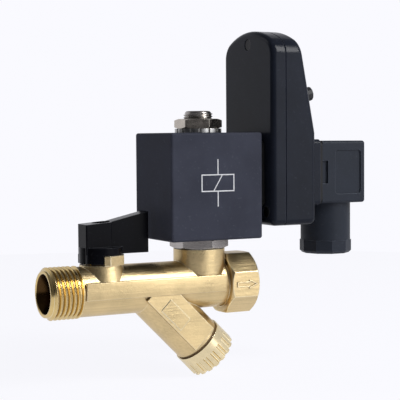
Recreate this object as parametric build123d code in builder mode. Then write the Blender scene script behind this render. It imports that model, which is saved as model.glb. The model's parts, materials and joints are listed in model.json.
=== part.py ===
"""Automatic drain valve: brass Y-strainer body with a ball shut-off, solenoid and plug-in timer.

Frame: the origin is the centre of the inlet's end face, +X runs with the flow along the
pipe, +Z points up the solenoid and the camera-side flank of the valve faces -Y.
"""
from build123d import *
import os
from math import atan2, cos, degrees, pi, radians, sin

os.makedirs("parts", exist_ok=True)

# ----------------------------------------------------------------------------------------
# Driving dimensions, in millimetres
# ----------------------------------------------------------------------------------------

# Clearances
fit_gap = 0.05            # parts of one assembly that slide together once
running_gap = 0.06        # radial clearance of what turns or slides in use
lift_gap = 0.3            # air left between a moving part and its neighbour

# Pipe run
pipe_thread_r = 10.48     # G 1/2 major radius, inlet and outlet
inlet_thread_len = 13.4
inlet_bore_r = 7.75
inlet_chamfer = 0.9
nipple_shank_r = 8.9
pipe_r = 10.0
stem_x = 24.6
stem_to_branch = 19.4
branch_to_coil = 24.6
coil_to_outlet = 22.0
flow_r = 4.5
flank_half = 10.1
flank_low_z = -2.4
flank_high_z = 4.3

# Outlet end
outlet_flats = 24.7
outlet_len = 12.8
outlet_thread_len = 11.0
outlet_chamfer = 1.0       # how far the turned corners run down the octagon
outlet_passage_r = 4.0
outlet_passage_back = 2.2
outlet_passage_roof = 1.7

# Ball valve
ball_r = 8.0
chamber_r = 8.4
seat_inner_r = 4.9
seat_near = 4.4           # seat ring, from the ball's centre
seat_width = 2.6
ball_slot_floor = 6.0
tang_thick = 2.6
tang_len = 6.8
stem_r = 3.0
stem_collar_r = 4.0
stem_collar_t = 1.4
stem_washer_t = 0.6
stem_square = 4.2
packing_r = 4.9
packing_t = 1.8
packing_nut_t = 1.6
neck_low_r = 10.0
neck_high_r = 8.6
neck_foot_z = 4.0
neck_top_z = 10.5
boss_r = 6.7
boss_top_z = 14.3
lug_r = 9.8
lug_start = -104.0
lug_arc = 118.0

# Lever
lever_turn = 90.0
stop_play = 2.0
skirt_outer_r = 8.7
skirt_wall = 1.7
skirt_drop = 3.5
hub_disc_t = 2.9
hub_half_y = 4.4
hub_back = 8.0
hub_front = 3.0
hub_height = 12.0
blade_half_y = 3.3
blade_reach = 19.5
blade_rise = 4.6
square_depth = 3.6
web_t = 1.4
lever_edge_r = 0.5
well_r = 3.7
lever_screw_r = 1.45
lever_screw_len = 7.0
lever_screw_head_r = 2.8
lever_screw_head_t = 1.9
lever_washer_r = 3.4
lever_washer_t = 0.5

# Strainer branch
branch_angle = 45.0
branch_r = 10.2
branch_len = 32.0
flat_half = 9.9
flat_width = 11.6
flat_from = 3.0
flat_to = 30.5
panel_width = 6.0
panel_len = 12.0
panel_depth = 0.3
panel_from = 8.0
panel_shift = -1.4
screen_r = 6.8
screen_wall = 0.6
screen_top = 2.5
screen_pocket = 3.5
entrance_r = 5.7
entrance_back = 3.5
strainer_chamber_r = 8.2
cap_thread_r = 9.0
cap_thread_len = 7.4
cap_gasket_t = 0.8
cap_gasket_inner_r = 9.2
cap_collar_t = 3.7
cap_grip_len = 6.2
cap_r = 10.8
cap_floor = 3.0
cap_flutes = 18
cap_flute_r = 0.95

# Solenoid seat in the body
coil_boss_r = 10.6
coil_boss_top = 14.9
tube_shank_r = 7.9
tube_shank_len = 9.8
pocket_floor_z = 2.0
nozzle_r = 2.7
nozzle_top_z = 4.4
orifice_r = 1.5
feed_r = 1.8
feed_offset = 5.4
feed_low_z = -11.0
o_ring_r = 0.68
o_ring_groove = 1.5

# Solenoid tube, plunger and coil
tube_hex_flats = 21.0
tube_hex_t = 4.0
tube_hex_gap = 0.2
tube_r = 6.6
tube_bore_r = 5.3
tube_len = 30.9
core_in_tube = 12.0
shading_mean_r = 3.6
shading_wall = 0.8
shading_t = 1.0
plunger_len = 30.6
seal_r = 3.2
seal_t = 2.2
seal_proud = 0.7
spring_r = 2.3
spring_wire_r = 0.35
spring_turns = 6
spring_pocket_r = 2.9
spring_pocket = 9.0
coil_x_size = 41.5
coil_y_size = 33.7
coil_z_size = 43.3
coil_round = 1.0
yoke_x_size = 29.2
yoke_y_size = 27.6
yoke_plate = 2.5
bobbin_wall = 1.2
bobbin_flange_r = 11.2
bobbin_flange_t = 1.2
washer_r = 9.6
washer_t = 1.7
washer_teeth = 16
stub_r = 6.0
stub_reach = 8.9
nut_flats = 17.0
nut_t = 4.0
hex_corner_drop = 0.6     # how far the chamfers of the hexagons run down their corners

# Connector line shared by coil, timer and plug
connector_z = 45.4
coil_gasket_t = 2.9
coil_gasket_size = 27.0
blade_width = 6.3
blade_thick = 0.8
blade_len = 9.5
blade_root = 4.6
blade_pair = 18.0
earth_offset = 9.0
clip_wall = 0.6
clip_len = 8.4
screw_r = 1.45
screw_bite = 5.0
screw_head_r = 2.8
screw_head_t = 2.0

# Timer
timer_width = 40.6
timer_low_z = 24.0
timer_high_z = 104.7
timer_rear_depth = 6.4
timer_front_depth = 14.7
timer_slope_z = 62.0
timer_slope_run = 5.95
timer_slope_rise = 31.6
timer_crown_r = 35.0
timer_shoulder_r = 8.0
timer_foot_r = 2.5
timer_edge_r = 2.2
seam_groove = 0.3
timer_wall = 2.0
carrier_size = 26.0
socket_boss_len = 6.2
socket_boss_size = 28.0
post_r = 2.9
post_inset = 5.6
case_screw_r = 1.2
case_screw_head_r = 2.2
case_screw_head_t = 1.5
board_depth = 11.0
board_t = 1.6
board_width = 33.0
board_len = 28.0
board_post_r = 2.0
relay_size = 10.0
capacitor_r = 3.6

# Controls on the timer's slope, measured up the slope from its foot
knob_up = 15.8
knob_spread = 22.0
knob_r = 3.0
knob_t = 5.4
knob_shaft_r = 1.5
pot_size = 9.0
pot_t = 4.6
led_up = 25.0
led_r = 1.5
led_spread = 22.0
button_up = 7.0
button_r = 3.0
button_t = 2.6
button_travel = 1.2
button_stem_r = 1.2
switch_size = 6.0
switch_t = 3.4

# Plug
plug_gasket_t = 1.7
plug_width = 26.0
plug_height = 26.6
plug_depth = 22.1
plug_round = 1.2
plug_wall = 1.9
recess_depth = 0.6
recess_width = 13.2
recess_height = 18.9
recess_from = 6.5
latch_len = 2.8
latch_height = 9.7
latch_depth = 1.0
insert_len = 13.0
gland_from = 10.0
gland_r = 10.8
gland_len = 16.4
gland_bore_r = 8.2
gland_throat_r = 6.2
gland_nut_len = 5.7
gland_nut_r = 11.2
gland_nut_hole_r = 4.8
grommet_len = 8.0
cable_r = 3.5
gland_washer_t = 1.0

# ----------------------------------------------------------------------------------------
# Places worked out from the sizes
# ----------------------------------------------------------------------------------------

branch_x = stem_x + stem_to_branch
coil_x = branch_x + branch_to_coil
outlet_x = coil_x + coil_to_outlet
octagon_x = outlet_x - outlet_len
seat_far = seat_near + seat_width
outlet_passage_z = pocket_floor_z - outlet_passage_roof - outlet_passage_r
chamber_start_x = stem_x - seat_far

stem_line = Plane(origin=(stem_x, 0, 0))
coil_line = Plane(origin=(coil_x, 0, 0))
branch_dir = (cos(radians(branch_angle)), 0, -sin(radians(branch_angle)))
branch_across = (sin(radians(branch_angle)), 0, cos(radians(branch_angle)))
branch_line = Plane(origin=(branch_x, 0, 0), x_dir=branch_across, z_dir=branch_dir)

collar_low_z = ball_r + running_gap + 0.14
collar_high_z = collar_low_z + stem_collar_t
washer_high_z = collar_high_z + stem_washer_t
packing_low_z = boss_top_z - packing_nut_t - packing_t
packing_mid_z = boss_top_z - packing_nut_t

lever_low_z = boss_top_z + lift_gap
stem_top_z = lever_low_z + square_depth
well_floor_z = stem_top_z + fit_gap + web_t
hub_top_z = lever_low_z + hub_height
skirt_inner_r = skirt_outer_r - skirt_wall
skirt_arc = 360 - lug_arc - lever_turn - 2 * stop_play

cap_seat = branch_len + cap_gasket_t
cap_thread_start = branch_len - cap_thread_len
cap_pocket_end = cap_seat + cap_collar_t + cap_grip_len - cap_floor

tube_shank_low_z = coil_boss_top + tube_hex_gap - tube_shank_len
tube_hex_low_z = coil_boss_top + tube_hex_gap
coil_low_z = tube_hex_low_z + tube_hex_t
coil_high_z = coil_low_z + coil_z_size
tube_top_z = coil_low_z + tube_len
core_low_z = tube_top_z - core_in_tube
plunger_low_z = nozzle_top_z + seal_proud + 0.1
plunger_high_z = plunger_low_z + plunger_len
washer_top_z = coil_high_z + washer_t
stub_top_z = coil_high_z + stub_reach
coil_bore_r = tube_r + 0.3
cavity_top_z = coil_low_z + coil_z_size - 3.4
yoke_top_z = cavity_top_z - fit_gap
bobbin_low_z = coil_low_z + yoke_plate + fit_gap
bobbin_high_z = yoke_top_z - yoke_plate - fit_gap
bobbin_r = coil_bore_r + bobbin_wall

coil_face_x = coil_x + coil_x_size / 2
timer_rear_x = coil_face_x + coil_gasket_t
seam_x = timer_rear_x + timer_rear_depth
timer_front_x = seam_x + timer_front_depth
boss_face_x = timer_front_x + socket_boss_len
plug_x = boss_face_x + plug_gasket_t
plug_end_x = plug_x + plug_depth
carrier_x = timer_rear_x + timer_wall + fit_gap
carrier_len = timer_front_x - timer_wall - fit_gap - carrier_x
slope_angle = degrees(atan2(timer_slope_run, timer_slope_rise))
slope_normal = (cos(radians(slope_angle)), 0, sin(radians(slope_angle)))
slope_plane = Plane(origin=(timer_front_x, 0, timer_slope_z), x_dir=(0, 1, 0), z_dir=slope_normal)
board_plane = slope_plane.offset(-board_depth)
gland_x = plug_x + gland_from
plug_low_z = connector_z - plug_height / 2
gland_low_z = plug_low_z - gland_len
insert_x = plug_x + fit_gap


# ----------------------------------------------------------------------------------------
# Shared shapes
# ----------------------------------------------------------------------------------------

def ray(angle, length=60.0):
    """Point at an angle on a circle well outside every round part."""
    return (length * cos(radians(angle)), length * sin(radians(angle)))


def wedge(start, arc):
    """Triangle that covers a sector of less than half a turn."""
    with BuildSketch() as area:
        Polygon((0, 0), ray(start), ray(start + arc), align=None)
    return area.sketch


def timer_outline(inset):
    """Front outline of the timer: straight flanks under a low basket-handle arch."""
    half = timer_width / 2
    shoulder_z = timer_high_z - timer_crown_r + (timer_crown_r ** 2 - half ** 2) ** 0.5
    with BuildSketch() as area:
        with BuildLine():
            Polyline((-half, shoulder_z), (-half, timer_low_z), (half, timer_low_z), (half, shoulder_z))
            ThreePointArc((half, shoulder_z), (0, timer_high_z), (-half, shoulder_z))
        make_face()
        corners = area.vertices().group_by(Axis.Y)
        fillet(corners[-1], timer_shoulder_r)
        fillet(area.vertices().group_by(Axis.Y)[0], timer_foot_r)
        if inset > 0:
            offset(amount=-inset, mode=Mode.REPLACE)
    return area.sketch


def slope_cut(inset):
    """Side profile of what the slope takes off the timer's front."""
    low = (timer_front_x - inset, timer_slope_z)
    run = 2 * timer_slope_run
    rise = 2 * timer_slope_rise
    with BuildSketch() as area:
        Polygon(low, (low[0] - run, low[1] + rise), (low[0] + run, low[1] + rise), (low[0] + run, low[1]),
                align=None)
    return area.sketch


def turned_blank(plane, sides, flats, thick, drop, turn):
    """Polygonal blank standing on a plane, with its corners turned off at both ends."""
    corner_r = flats / 2 / cos(pi / sides)
    with BuildPart() as blank:
        with BuildSketch(plane):
            Circle(corner_r)
        extrude(amount=thick)
        chamfer(edges(), drop, corner_r - flats / 2 + 0.2)
        with BuildSketch(plane):
            RegularPolygon(flats / 2, sides, major_radius=False, rotation=turn)
        extrude(amount=thick, mode=Mode.INTERSECT)
    return blank


def blade_places():
    """The three contact positions about the connector line: two line blades and the earth."""
    return [(-blade_pair / 2, 0, False), (blade_pair / 2, 0, False), (0, -earth_offset, True)]


def export(piece, name):
    """Label a finished piece and write its STEP file."""
    piece.part.label = name
    export_step(piece.part, f"parts/{name}.step")


# ----------------------------------------------------------------------------------------
# Brass body
# ----------------------------------------------------------------------------------------

with BuildPart() as valve_body:
    with BuildSketch(Plane.YZ.offset(inlet_thread_len)):
        Circle(pipe_r)
    extrude(amount=octagon_x - inlet_thread_len)
    # flat forged flanks
    with BuildSketch(Plane.YZ.offset(inlet_thread_len + 2.5)):
        with Locations((0, (flank_low_z + flank_high_z) / 2)):
            Rectangle(2 * flank_half, flank_high_z - flank_low_z)
    extrude(amount=octagon_x - inlet_thread_len - 4.5)
    # octagonal outlet end
    add(turned_blank(Plane.YZ.offset(octagon_x), 8, outlet_flats, outlet_len, outlet_chamfer, 22.5).part)
    # strainer branch with its flat flanks
    with BuildSketch(branch_line):
        Circle(branch_r)
    extrude(amount=branch_len)
    with BuildSketch(branch_line.offset(flat_from)):
        Rectangle(flat_width, 2 * flat_half)
    extrude(amount=flat_to - flat_from)
    # conical neck, boss and stop lug of the ball valve's stem
    with Locations((stem_x, 0, neck_foot_z)):
        Cone(neck_low_r, neck_high_r, neck_top_z - neck_foot_z, align=(Align.CENTER, Align.CENTER, Align.MIN))
    with BuildSketch(stem_line.offset(neck_top_z)):
        Circle(boss_r)
    extrude(amount=boss_top_z - neck_top_z)
    with BuildSketch(stem_line.offset(neck_top_z)):
        RegularPolygon(lug_r, 8)
        add(wedge(lug_start, lug_arc), mode=Mode.INTERSECT)
    extrude(amount=boss_top_z - neck_top_z)
    # round boss under the solenoid
    with BuildSketch(coil_line):
        Circle(coil_boss_r)
    extrude(amount=coil_boss_top)

    # ball chamber, nipple thread and straight passage
    with BuildSketch(Plane.YZ.offset(inlet_thread_len)):
        Circle(nipple_shank_r + fit_gap)
    extrude(amount=chamber_start_x - inlet_thread_len, mode=Mode.SUBTRACT)
    with BuildSketch(Plane.YZ.offset(chamber_start_x)):
        Circle(chamber_r)
    extrude(amount=2 * seat_far, mode=Mode.SUBTRACT)
    with BuildSketch(Plane.YZ.offset(stem_x)):
        Circle(flow_r)
    extrude(amount=stem_to_branch, mode=Mode.SUBTRACT)
    # stem bore, collar seat and packing box
    with BuildSketch(stem_line):
        Circle(stem_r + running_gap)
    extrude(amount=boss_top_z, mode=Mode.SUBTRACT)
    with BuildSketch(stem_line):
        Circle(stem_collar_r + running_gap)
    extrude(amount=washer_high_z, mode=Mode.SUBTRACT)
    with BuildSketch(stem_line.offset(packing_low_z)):
        Circle(packing_r + fit_gap)
    extrude(amount=boss_top_z - packing_low_z, mode=Mode.SUBTRACT)
    # strainer passage, screen seat, chamber and cap thread
    with BuildSketch(branch_line.offset(-entrance_back)):
        Circle(entrance_r)
    extrude(amount=entrance_back + screen_top, mode=Mode.SUBTRACT)
    with BuildSketch(branch_line.offset(screen_top)):
        Circle(screen_r + running_gap)
    extrude(amount=screen_pocket, mode=Mode.SUBTRACT)
    with BuildSketch(branch_line.offset(screen_top + screen_pocket)):
        Circle(strainer_chamber_r)
    extrude(amount=branch_len - screen_top - screen_pocket, mode=Mode.SUBTRACT)
    with BuildSketch(branch_line.offset(cap_thread_start)):
        Circle(cap_thread_r + running_gap)
    extrude(amount=cap_thread_len, mode=Mode.SUBTRACT)
    # shallow blank panels on the branch's flats
    for side in (-1, 1):
        with BuildSketch(Plane(origin=branch_line.from_local_coords((panel_shift, side * flat_half,
                                                                     panel_from + panel_len / 2)),
                               x_dir=branch_dir, z_dir=(0, -side, 0))):
            RectangleRounded(panel_len, panel_width, 1.0)
        extrude(amount=-panel_depth, mode=Mode.SUBTRACT)
    # thread and O-ring groove for the solenoid tube, flow pocket round the nozzle
    with BuildSketch(coil_line.offset(tube_shank_low_z - lift_gap)):
        Circle(tube_shank_r + fit_gap)
    extrude(amount=coil_boss_top - tube_shank_low_z + lift_gap, mode=Mode.SUBTRACT)
    with BuildSketch(coil_line.offset(coil_boss_top - o_ring_groove)):
        Circle(tube_shank_r + fit_gap + o_ring_groove)
    extrude(amount=o_ring_groove, mode=Mode.SUBTRACT)
    with BuildSketch(coil_line.offset(pocket_floor_z)):
        Circle(tube_shank_r + fit_gap)
        Circle(nozzle_r, mode=Mode.SUBTRACT)
    extrude(amount=nozzle_top_z - pocket_floor_z, mode=Mode.SUBTRACT)
    with BuildSketch(coil_line.offset(nozzle_top_z)):
        Circle(tube_shank_r + fit_gap)
    extrude(amount=tube_shank_low_z - lift_gap - nozzle_top_z, mode=Mode.SUBTRACT)
    # feed from the strainer up to the pocket, orifice and outlet passage
    with BuildSketch(Plane(origin=(coil_x - feed_offset, 0, feed_low_z))):
        Circle(feed_r)
    extrude(amount=pocket_floor_z - feed_low_z, mode=Mode.SUBTRACT)
    with BuildSketch(coil_line.offset(outlet_passage_z)):
        Circle(orifice_r)
    extrude(amount=nozzle_top_z - outlet_passage_z, mode=Mode.SUBTRACT)
    with BuildSketch(Plane.YZ.offset(coil_x - outlet_passage_back)):
        with Locations((0, outlet_passage_z)):
            Circle(outlet_passage_r)
    extrude(amount=outlet_x - coil_x + outlet_passage_back, mode=Mode.SUBTRACT)
    with BuildSketch(Plane.YZ.offset(outlet_x - outlet_thread_len)):
        Circle(pipe_thread_r)
    extrude(amount=outlet_thread_len, mode=Mode.SUBTRACT)
export(valve_body, "valve_body")

# ----------------------------------------------------------------------------------------
# Inlet end and ball valve
# ----------------------------------------------------------------------------------------

with BuildPart() as inlet_nipple:
    with BuildSketch(Plane.YZ):
        Circle(pipe_thread_r)
    extrude(amount=inlet_thread_len)
    chamfer(faces().sort_by(Axis.X)[0].edges(), inlet_chamfer)
    with BuildSketch(Plane.YZ.offset(inlet_thread_len)):
        Circle(nipple_shank_r)
    extrude(amount=chamber_start_x - inlet_thread_len)
    with BuildSketch(Plane.YZ):
        Circle(inlet_bore_r)
    extrude(amount=chamber_start_x, mode=Mode.SUBTRACT)
export(inlet_nipple, "inlet_nipple")

for side, name in ((-1, "inlet_ball_seat"), (1, "outlet_ball_seat")):
    with BuildPart() as ball_seat:
        with BuildSketch(Plane.XY):
            with Locations((stem_x + side * (seat_near + seat_width / 2), (seat_inner_r + chamber_r - fit_gap) / 2)):
                Rectangle(seat_width, chamber_r - fit_gap - seat_inner_r)
            with Locations((stem_x, 0)):
                Circle(ball_r + running_gap, mode=Mode.SUBTRACT)
        revolve(axis=Axis.X)
    export(ball_seat, name)

with BuildPart() as ball:
    with Locations((stem_x, 0, 0)):
        Sphere(ball_r)
    with BuildSketch(Plane.YZ.offset(stem_x)):
        Circle(flow_r)
    extrude(amount=ball_r, both=True, mode=Mode.SUBTRACT)
    with BuildSketch(stem_line.offset(ball_slot_floor)):
        Rectangle(tang_thick + 2 * fit_gap, 2 * ball_r)
    extrude(amount=ball_r, mode=Mode.SUBTRACT)
export(ball, "ball")

with BuildPart() as valve_stem:
    with BuildSketch(stem_line.offset(ball_slot_floor + fit_gap)):
        Rectangle(tang_thick, tang_len)
    extrude(amount=collar_low_z - ball_slot_floor - fit_gap)
    with BuildSketch(stem_line.offset(collar_low_z)):
        Circle(stem_collar_r)
    extrude(amount=stem_collar_t)
    with BuildSketch(stem_line.offset(collar_high_z)):
        Circle(stem_r)
    extrude(amount=lever_low_z - collar_high_z)
    with BuildSketch(stem_line.offset(lever_low_z)):
        Circle(stem_r)
        Rectangle(stem_square, stem_square, mode=Mode.INTERSECT)
    extrude(amount=square_depth)
    with BuildSketch(stem_line.offset(stem_top_z)):
        Circle(lever_screw_r + fit_gap)
    extrude(amount=-lever_screw_len, mode=Mode.SUBTRACT)
export(valve_stem, "valve_stem")

with BuildPart() as stem_washer:
    with BuildSketch(stem_line.offset(collar_high_z)):
        Circle(stem_collar_r)
        Circle(stem_r + fit_gap, mode=Mode.SUBTRACT)
    extrude(amount=stem_washer_t)
export(stem_washer, "stem_washer")

with BuildPart() as stem_packing:
    with BuildSketch(stem_line.offset(packing_low_z)):
        Circle(packing_r)
        Circle(stem_r + running_gap, mode=Mode.SUBTRACT)
    extrude(amount=packing_t)
export(stem_packing, "stem_packing")

with BuildPart() as packing_nut:
    with BuildSketch(stem_line.offset(packing_mid_z)):
        Circle(packing_r)
        Circle(stem_r + running_gap, mode=Mode.SUBTRACT)
    extrude(amount=packing_nut_t)
    # two spanner slots across the top
    with BuildSketch(stem_line.offset(boss_top_z)):
        with Locations((packing_r, 0), (-packing_r, 0)):
            Rectangle(packing_r - stem_r, 1.2)
    extrude(amount=-packing_nut_t / 2, mode=Mode.SUBTRACT)
export(packing_nut, "packing_nut")

# The lever is a tall moulded fin on a round hub disc; a skirt under the disc meets the
# body's lug at both ends of the quarter turn.
with BuildPart() as lever:
    with BuildSketch(stem_line.offset(lever_low_z)):
        Circle(skirt_outer_r)
    extrude(amount=hub_disc_t)
    # hub block and blade, cut to the sloping top line
    with BuildSketch(stem_line.offset(lever_low_z)):
        with Locations(((hub_front - hub_back) / 2, 0)):
            Rectangle(hub_front + hub_back, 2 * hub_half_y)
        with Locations(((blade_reach - hub_back) / 2, 0)):
            Rectangle(blade_reach + hub_back, 2 * blade_half_y)
        fillet(vertices(), lever_edge_r)
    extrude(amount=hub_height + 2 * blade_rise)
    with BuildSketch(Plane(origin=(stem_x, 0, hub_top_z), x_dir=(1, 0, 0), z_dir=(0, -1, 0))):
        Polygon((-hub_back - 5, -0.4), (hub_front, 0.8), (blade_reach + 5, blade_rise + 1.0),
                (blade_reach + 5, 3 * blade_rise), (-hub_back - 5, 3 * blade_rise), align=None)
    extrude(amount=2 * skirt_outer_r, both=True, mode=Mode.SUBTRACT)
    # skirt with the flat back block, down past the boss
    with BuildSketch(stem_line.offset(lever_low_z)):
        Circle(skirt_outer_r)
        with Locations((-hub_back / 2, 0)):
            Rectangle(hub_back, 2 * hub_half_y)
        Circle(skirt_inner_r, mode=Mode.SUBTRACT)
        add(wedge(lug_start - stop_play - skirt_arc, skirt_arc), mode=Mode.INTERSECT)
    extrude(amount=-skirt_drop)
    # square for the stem, screw hole and the round well over the screw
    with BuildSketch(stem_line.offset(lever_low_z)):
        Circle(stem_r + fit_gap)
        Rectangle(stem_square + 2 * fit_gap, stem_square + 2 * fit_gap, mode=Mode.INTERSECT)
    extrude(amount=square_depth + fit_gap, mode=Mode.SUBTRACT)
    with BuildSketch(stem_line.offset(lever_low_z)):
        Circle(lever_screw_r + fit_gap)
    extrude(amount=hub_height, mode=Mode.SUBTRACT)
    with BuildSketch(stem_line.offset(well_floor_z)):
        Circle(well_r)
    extrude(amount=hub_height + blade_rise, mode=Mode.SUBTRACT)
export(lever, "lever")

with BuildPart() as lever_washer:
    with BuildSketch(stem_line.offset(well_floor_z)):
        Circle(lever_washer_r)
        Circle(lever_screw_r + fit_gap, mode=Mode.SUBTRACT)
    extrude(amount=lever_washer_t)
export(lever_washer, "lever_washer")

with BuildPart() as lever_screw:
    with BuildSketch(stem_line.offset(well_floor_z + lever_washer_t)):
        Circle(lever_screw_r)
    extrude(amount=-(lever_screw_len - 1.0))
    with BuildSketch(stem_line.offset(well_floor_z + lever_washer_t)):
        Circle(lever_screw_head_r)
    extrude(amount=lever_screw_head_t)
    chamfer(edges().group_by(Axis.Z)[-1], 0.4)
    with BuildSketch(stem_line.offset(well_floor_z + lever_washer_t + lever_screw_head_t)):
        Rectangle(3.4, 0.8)
        Rectangle(0.8, 3.4)
    extrude(amount=-1.0, mode=Mode.SUBTRACT)
export(lever_screw, "lever_screw")

# ----------------------------------------------------------------------------------------
# Strainer
# ----------------------------------------------------------------------------------------

with BuildPart() as strainer_screen:
    with BuildSketch(branch_line.offset(screen_top + fit_gap)):
        Circle(screen_r)
        Circle(screen_r - screen_wall, mode=Mode.SUBTRACT)
    extrude(amount=cap_pocket_end - screen_top - 2 * fit_gap)
    # windows between the ribs of the cage
    screen_mid = (screen_top + screen_pocket + cap_thread_start) / 2
    for row in (-1, 1):
        with BuildSketch(Plane(origin=branch_line.from_local_coords((0, 0, screen_mid + row * 4.4)),
                               x_dir=branch_across, z_dir=(0, 1, 0))):
            Rectangle(3.4, 7.0)
        extrude(amount=2 * screen_r, both=True, mode=Mode.SUBTRACT)
        with BuildSketch(Plane(origin=branch_line.from_local_coords((0, 0, screen_mid + row * 4.4)),
                               x_dir=(0, 1, 0), z_dir=branch_across)):
            Rectangle(3.4, 7.0)
        extrude(amount=2 * screen_r, both=True, mode=Mode.SUBTRACT)
export(strainer_screen, "strainer_screen")

with BuildPart() as cap_gasket:
    with BuildSketch(branch_line.offset(branch_len)):
        Circle(branch_r)
        Circle(cap_gasket_inner_r, mode=Mode.SUBTRACT)
    extrude(amount=cap_gasket_t)
export(cap_gasket, "cap_gasket")

with BuildPart() as strainer_cap:
    with BuildSketch(branch_line.offset(cap_thread_start + fit_gap)):
        Circle(cap_thread_r)
    extrude(amount=cap_seat - cap_thread_start - fit_gap)
    with BuildSketch(branch_line.offset(cap_seat)):
        Circle(cap_r)
    extrude(amount=cap_collar_t)
    with BuildSketch(branch_line.offset(cap_seat + cap_collar_t)):
        Circle(cap_r)
        with PolarLocations(cap_r, cap_flutes):
            Circle(cap_flute_r, mode=Mode.SUBTRACT)
    extrude(amount=cap_grip_len)
    with BuildSketch(branch_line.offset(cap_thread_start)):
        Circle(screen_r + running_gap)
    extrude(amount=cap_pocket_end - cap_thread_start, mode=Mode.SUBTRACT)
export(strainer_cap, "strainer_cap")

# ----------------------------------------------------------------------------------------
# Solenoid tube and plunger
# ----------------------------------------------------------------------------------------

with BuildPart() as core_tube:
    with BuildSketch(coil_line.offset(tube_shank_low_z)):
        Circle(tube_shank_r)
    extrude(amount=tube_shank_len)
    add(turned_blank(coil_line.offset(tube_hex_low_z), 6, tube_hex_flats, tube_hex_t, hex_corner_drop,
                     30).part)
    with BuildSketch(coil_line.offset(coil_low_z)):
        Circle(tube_r)
    extrude(amount=tube_len)
    with BuildSketch(coil_line.offset(tube_shank_low_z)):
        Circle(tube_bore_r)
    extrude(amount=tube_top_z - tube_shank_low_z, mode=Mode.SUBTRACT)
export(core_tube, "core_tube")

with BuildPart() as tube_o_ring:
    ring_centre = (coil_x + tube_shank_r + fit_gap + o_ring_groove / 2, 0, coil_boss_top - o_ring_groove / 2)
    with BuildSketch(Plane(origin=ring_centre, x_dir=(1, 0, 0), z_dir=(0, -1, 0))):
        RegularPolygon(o_ring_r, 8, rotation=22.5)
    revolve(axis=Axis((coil_x, 0, 0), (0, 0, 1)))
export(tube_o_ring, "tube_o_ring")

with BuildPart() as fixed_core:
    with BuildSketch(coil_line.offset(core_low_z)):
        Circle(tube_bore_r - fit_gap)
    extrude(amount=core_in_tube)
    with BuildSketch(coil_line.offset(tube_top_z)):
        Circle(tube_r)
    extrude(amount=coil_high_z - lift_gap - tube_top_z)
    with BuildSketch(coil_line.offset(coil_high_z - lift_gap)):
        Circle(stub_r)
    extrude(amount=stub_top_z - coil_high_z + lift_gap)
    chamfer(edges().group_by(Axis.Z)[-1], 0.6)
    with BuildSketch(coil_line.offset(core_low_z)):
        Circle(shading_mean_r + shading_wall / 2 + fit_gap)
        Circle(shading_mean_r - shading_wall / 2 - fit_gap, mode=Mode.SUBTRACT)
    extrude(amount=shading_t + fit_gap, mode=Mode.SUBTRACT)
export(fixed_core, "fixed_core")

with BuildPart() as shading_ring:
    with BuildSketch(coil_line.offset(core_low_z)):
        Circle(shading_mean_r + shading_wall / 2)
        Circle(shading_mean_r - shading_wall / 2, mode=Mode.SUBTRACT)
    extrude(amount=shading_t)
export(shading_ring, "shading_ring")

with BuildPart() as plunger:
    with BuildSketch(coil_line.offset(plunger_low_z)):
        Circle(tube_bore_r - running_gap)
    extrude(amount=plunger_len)
    with BuildSketch(coil_line.offset(plunger_low_z)):
        Circle(seal_r + fit_gap)
    extrude(amount=seal_t - seal_proud, mode=Mode.SUBTRACT)
    with BuildSketch(coil_line.offset(plunger_high_z)):
        Circle(spring_pocket_r)
    extrude(amount=-spring_pocket, mode=Mode.SUBTRACT)
    # flats that let the medium past the plunger
    with BuildSketch(coil_line.offset(plunger_low_z)):
        with Locations((0, tube_bore_r), (0, -tube_bore_r)):
            Rectangle(2 * tube_bore_r, 1.4)
    extrude(amount=plunger_len, mode=Mode.SUBTRACT)
export(plunger, "plunger")

with BuildPart() as plunger_seal:
    with BuildSketch(coil_line.offset(plunger_low_z - seal_proud)):
        Circle(seal_r)
    extrude(amount=seal_t)
export(plunger_seal, "plunger_seal")

spring_low_z = plunger_high_z - spring_pocket
spring_len = core_low_z - spring_low_z
with BuildPart() as plunger_spring:
    spring_start = (coil_x, 0, spring_low_z + spring_wire_r)
    with BuildLine():
        coil_path = Helix((spring_len - 2 * spring_wire_r) / spring_turns, spring_len - 2 * spring_wire_r,
                          spring_r, center=spring_start)
    with BuildSketch(Plane(origin=coil_path @ 0, z_dir=coil_path % 0)):
        RegularPolygon(spring_wire_r, 6)
    sweep(is_frenet=True)
export(plunger_spring, "plunger_spring")

# ----------------------------------------------------------------------------------------
# Coil
# ----------------------------------------------------------------------------------------

with BuildPart() as coil_housing:
    with BuildSketch(coil_line.offset(coil_low_z)):
        Rectangle(coil_x_size, coil_y_size)
    extrude(amount=coil_z_size)
    fillet(edges(), coil_round)
    with BuildSketch(coil_line.offset(coil_low_z)):
        Rectangle(yoke_x_size + 2 * fit_gap, yoke_y_size + 2 * fit_gap)
    extrude(amount=cavity_top_z - coil_low_z, mode=Mode.SUBTRACT)
    with BuildSketch(coil_line.offset(coil_low_z)):
        Circle(coil_bore_r)
    extrude(amount=coil_z_size, mode=Mode.SUBTRACT)
    # sockets for the connector blades and the threaded insert of the fixing screw
    for across, up, turned in blade_places():
        with BuildSketch(Plane.YZ.offset(coil_face_x)):
            with Locations((across, connector_z + up)):
                Rectangle(blade_thick + 2 * fit_gap, blade_width + 2 * fit_gap, rotation=90 if turned else 0)
        extrude(amount=-blade_root - fit_gap, mode=Mode.SUBTRACT)
    with BuildSketch(Plane.YZ.offset(coil_face_x)):
        with Locations((0, connector_z)):
            Circle(screw_r + fit_gap)
    extrude(amount=-screw_bite, mode=Mode.SUBTRACT)
export(coil_housing, "coil_housing")

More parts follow.
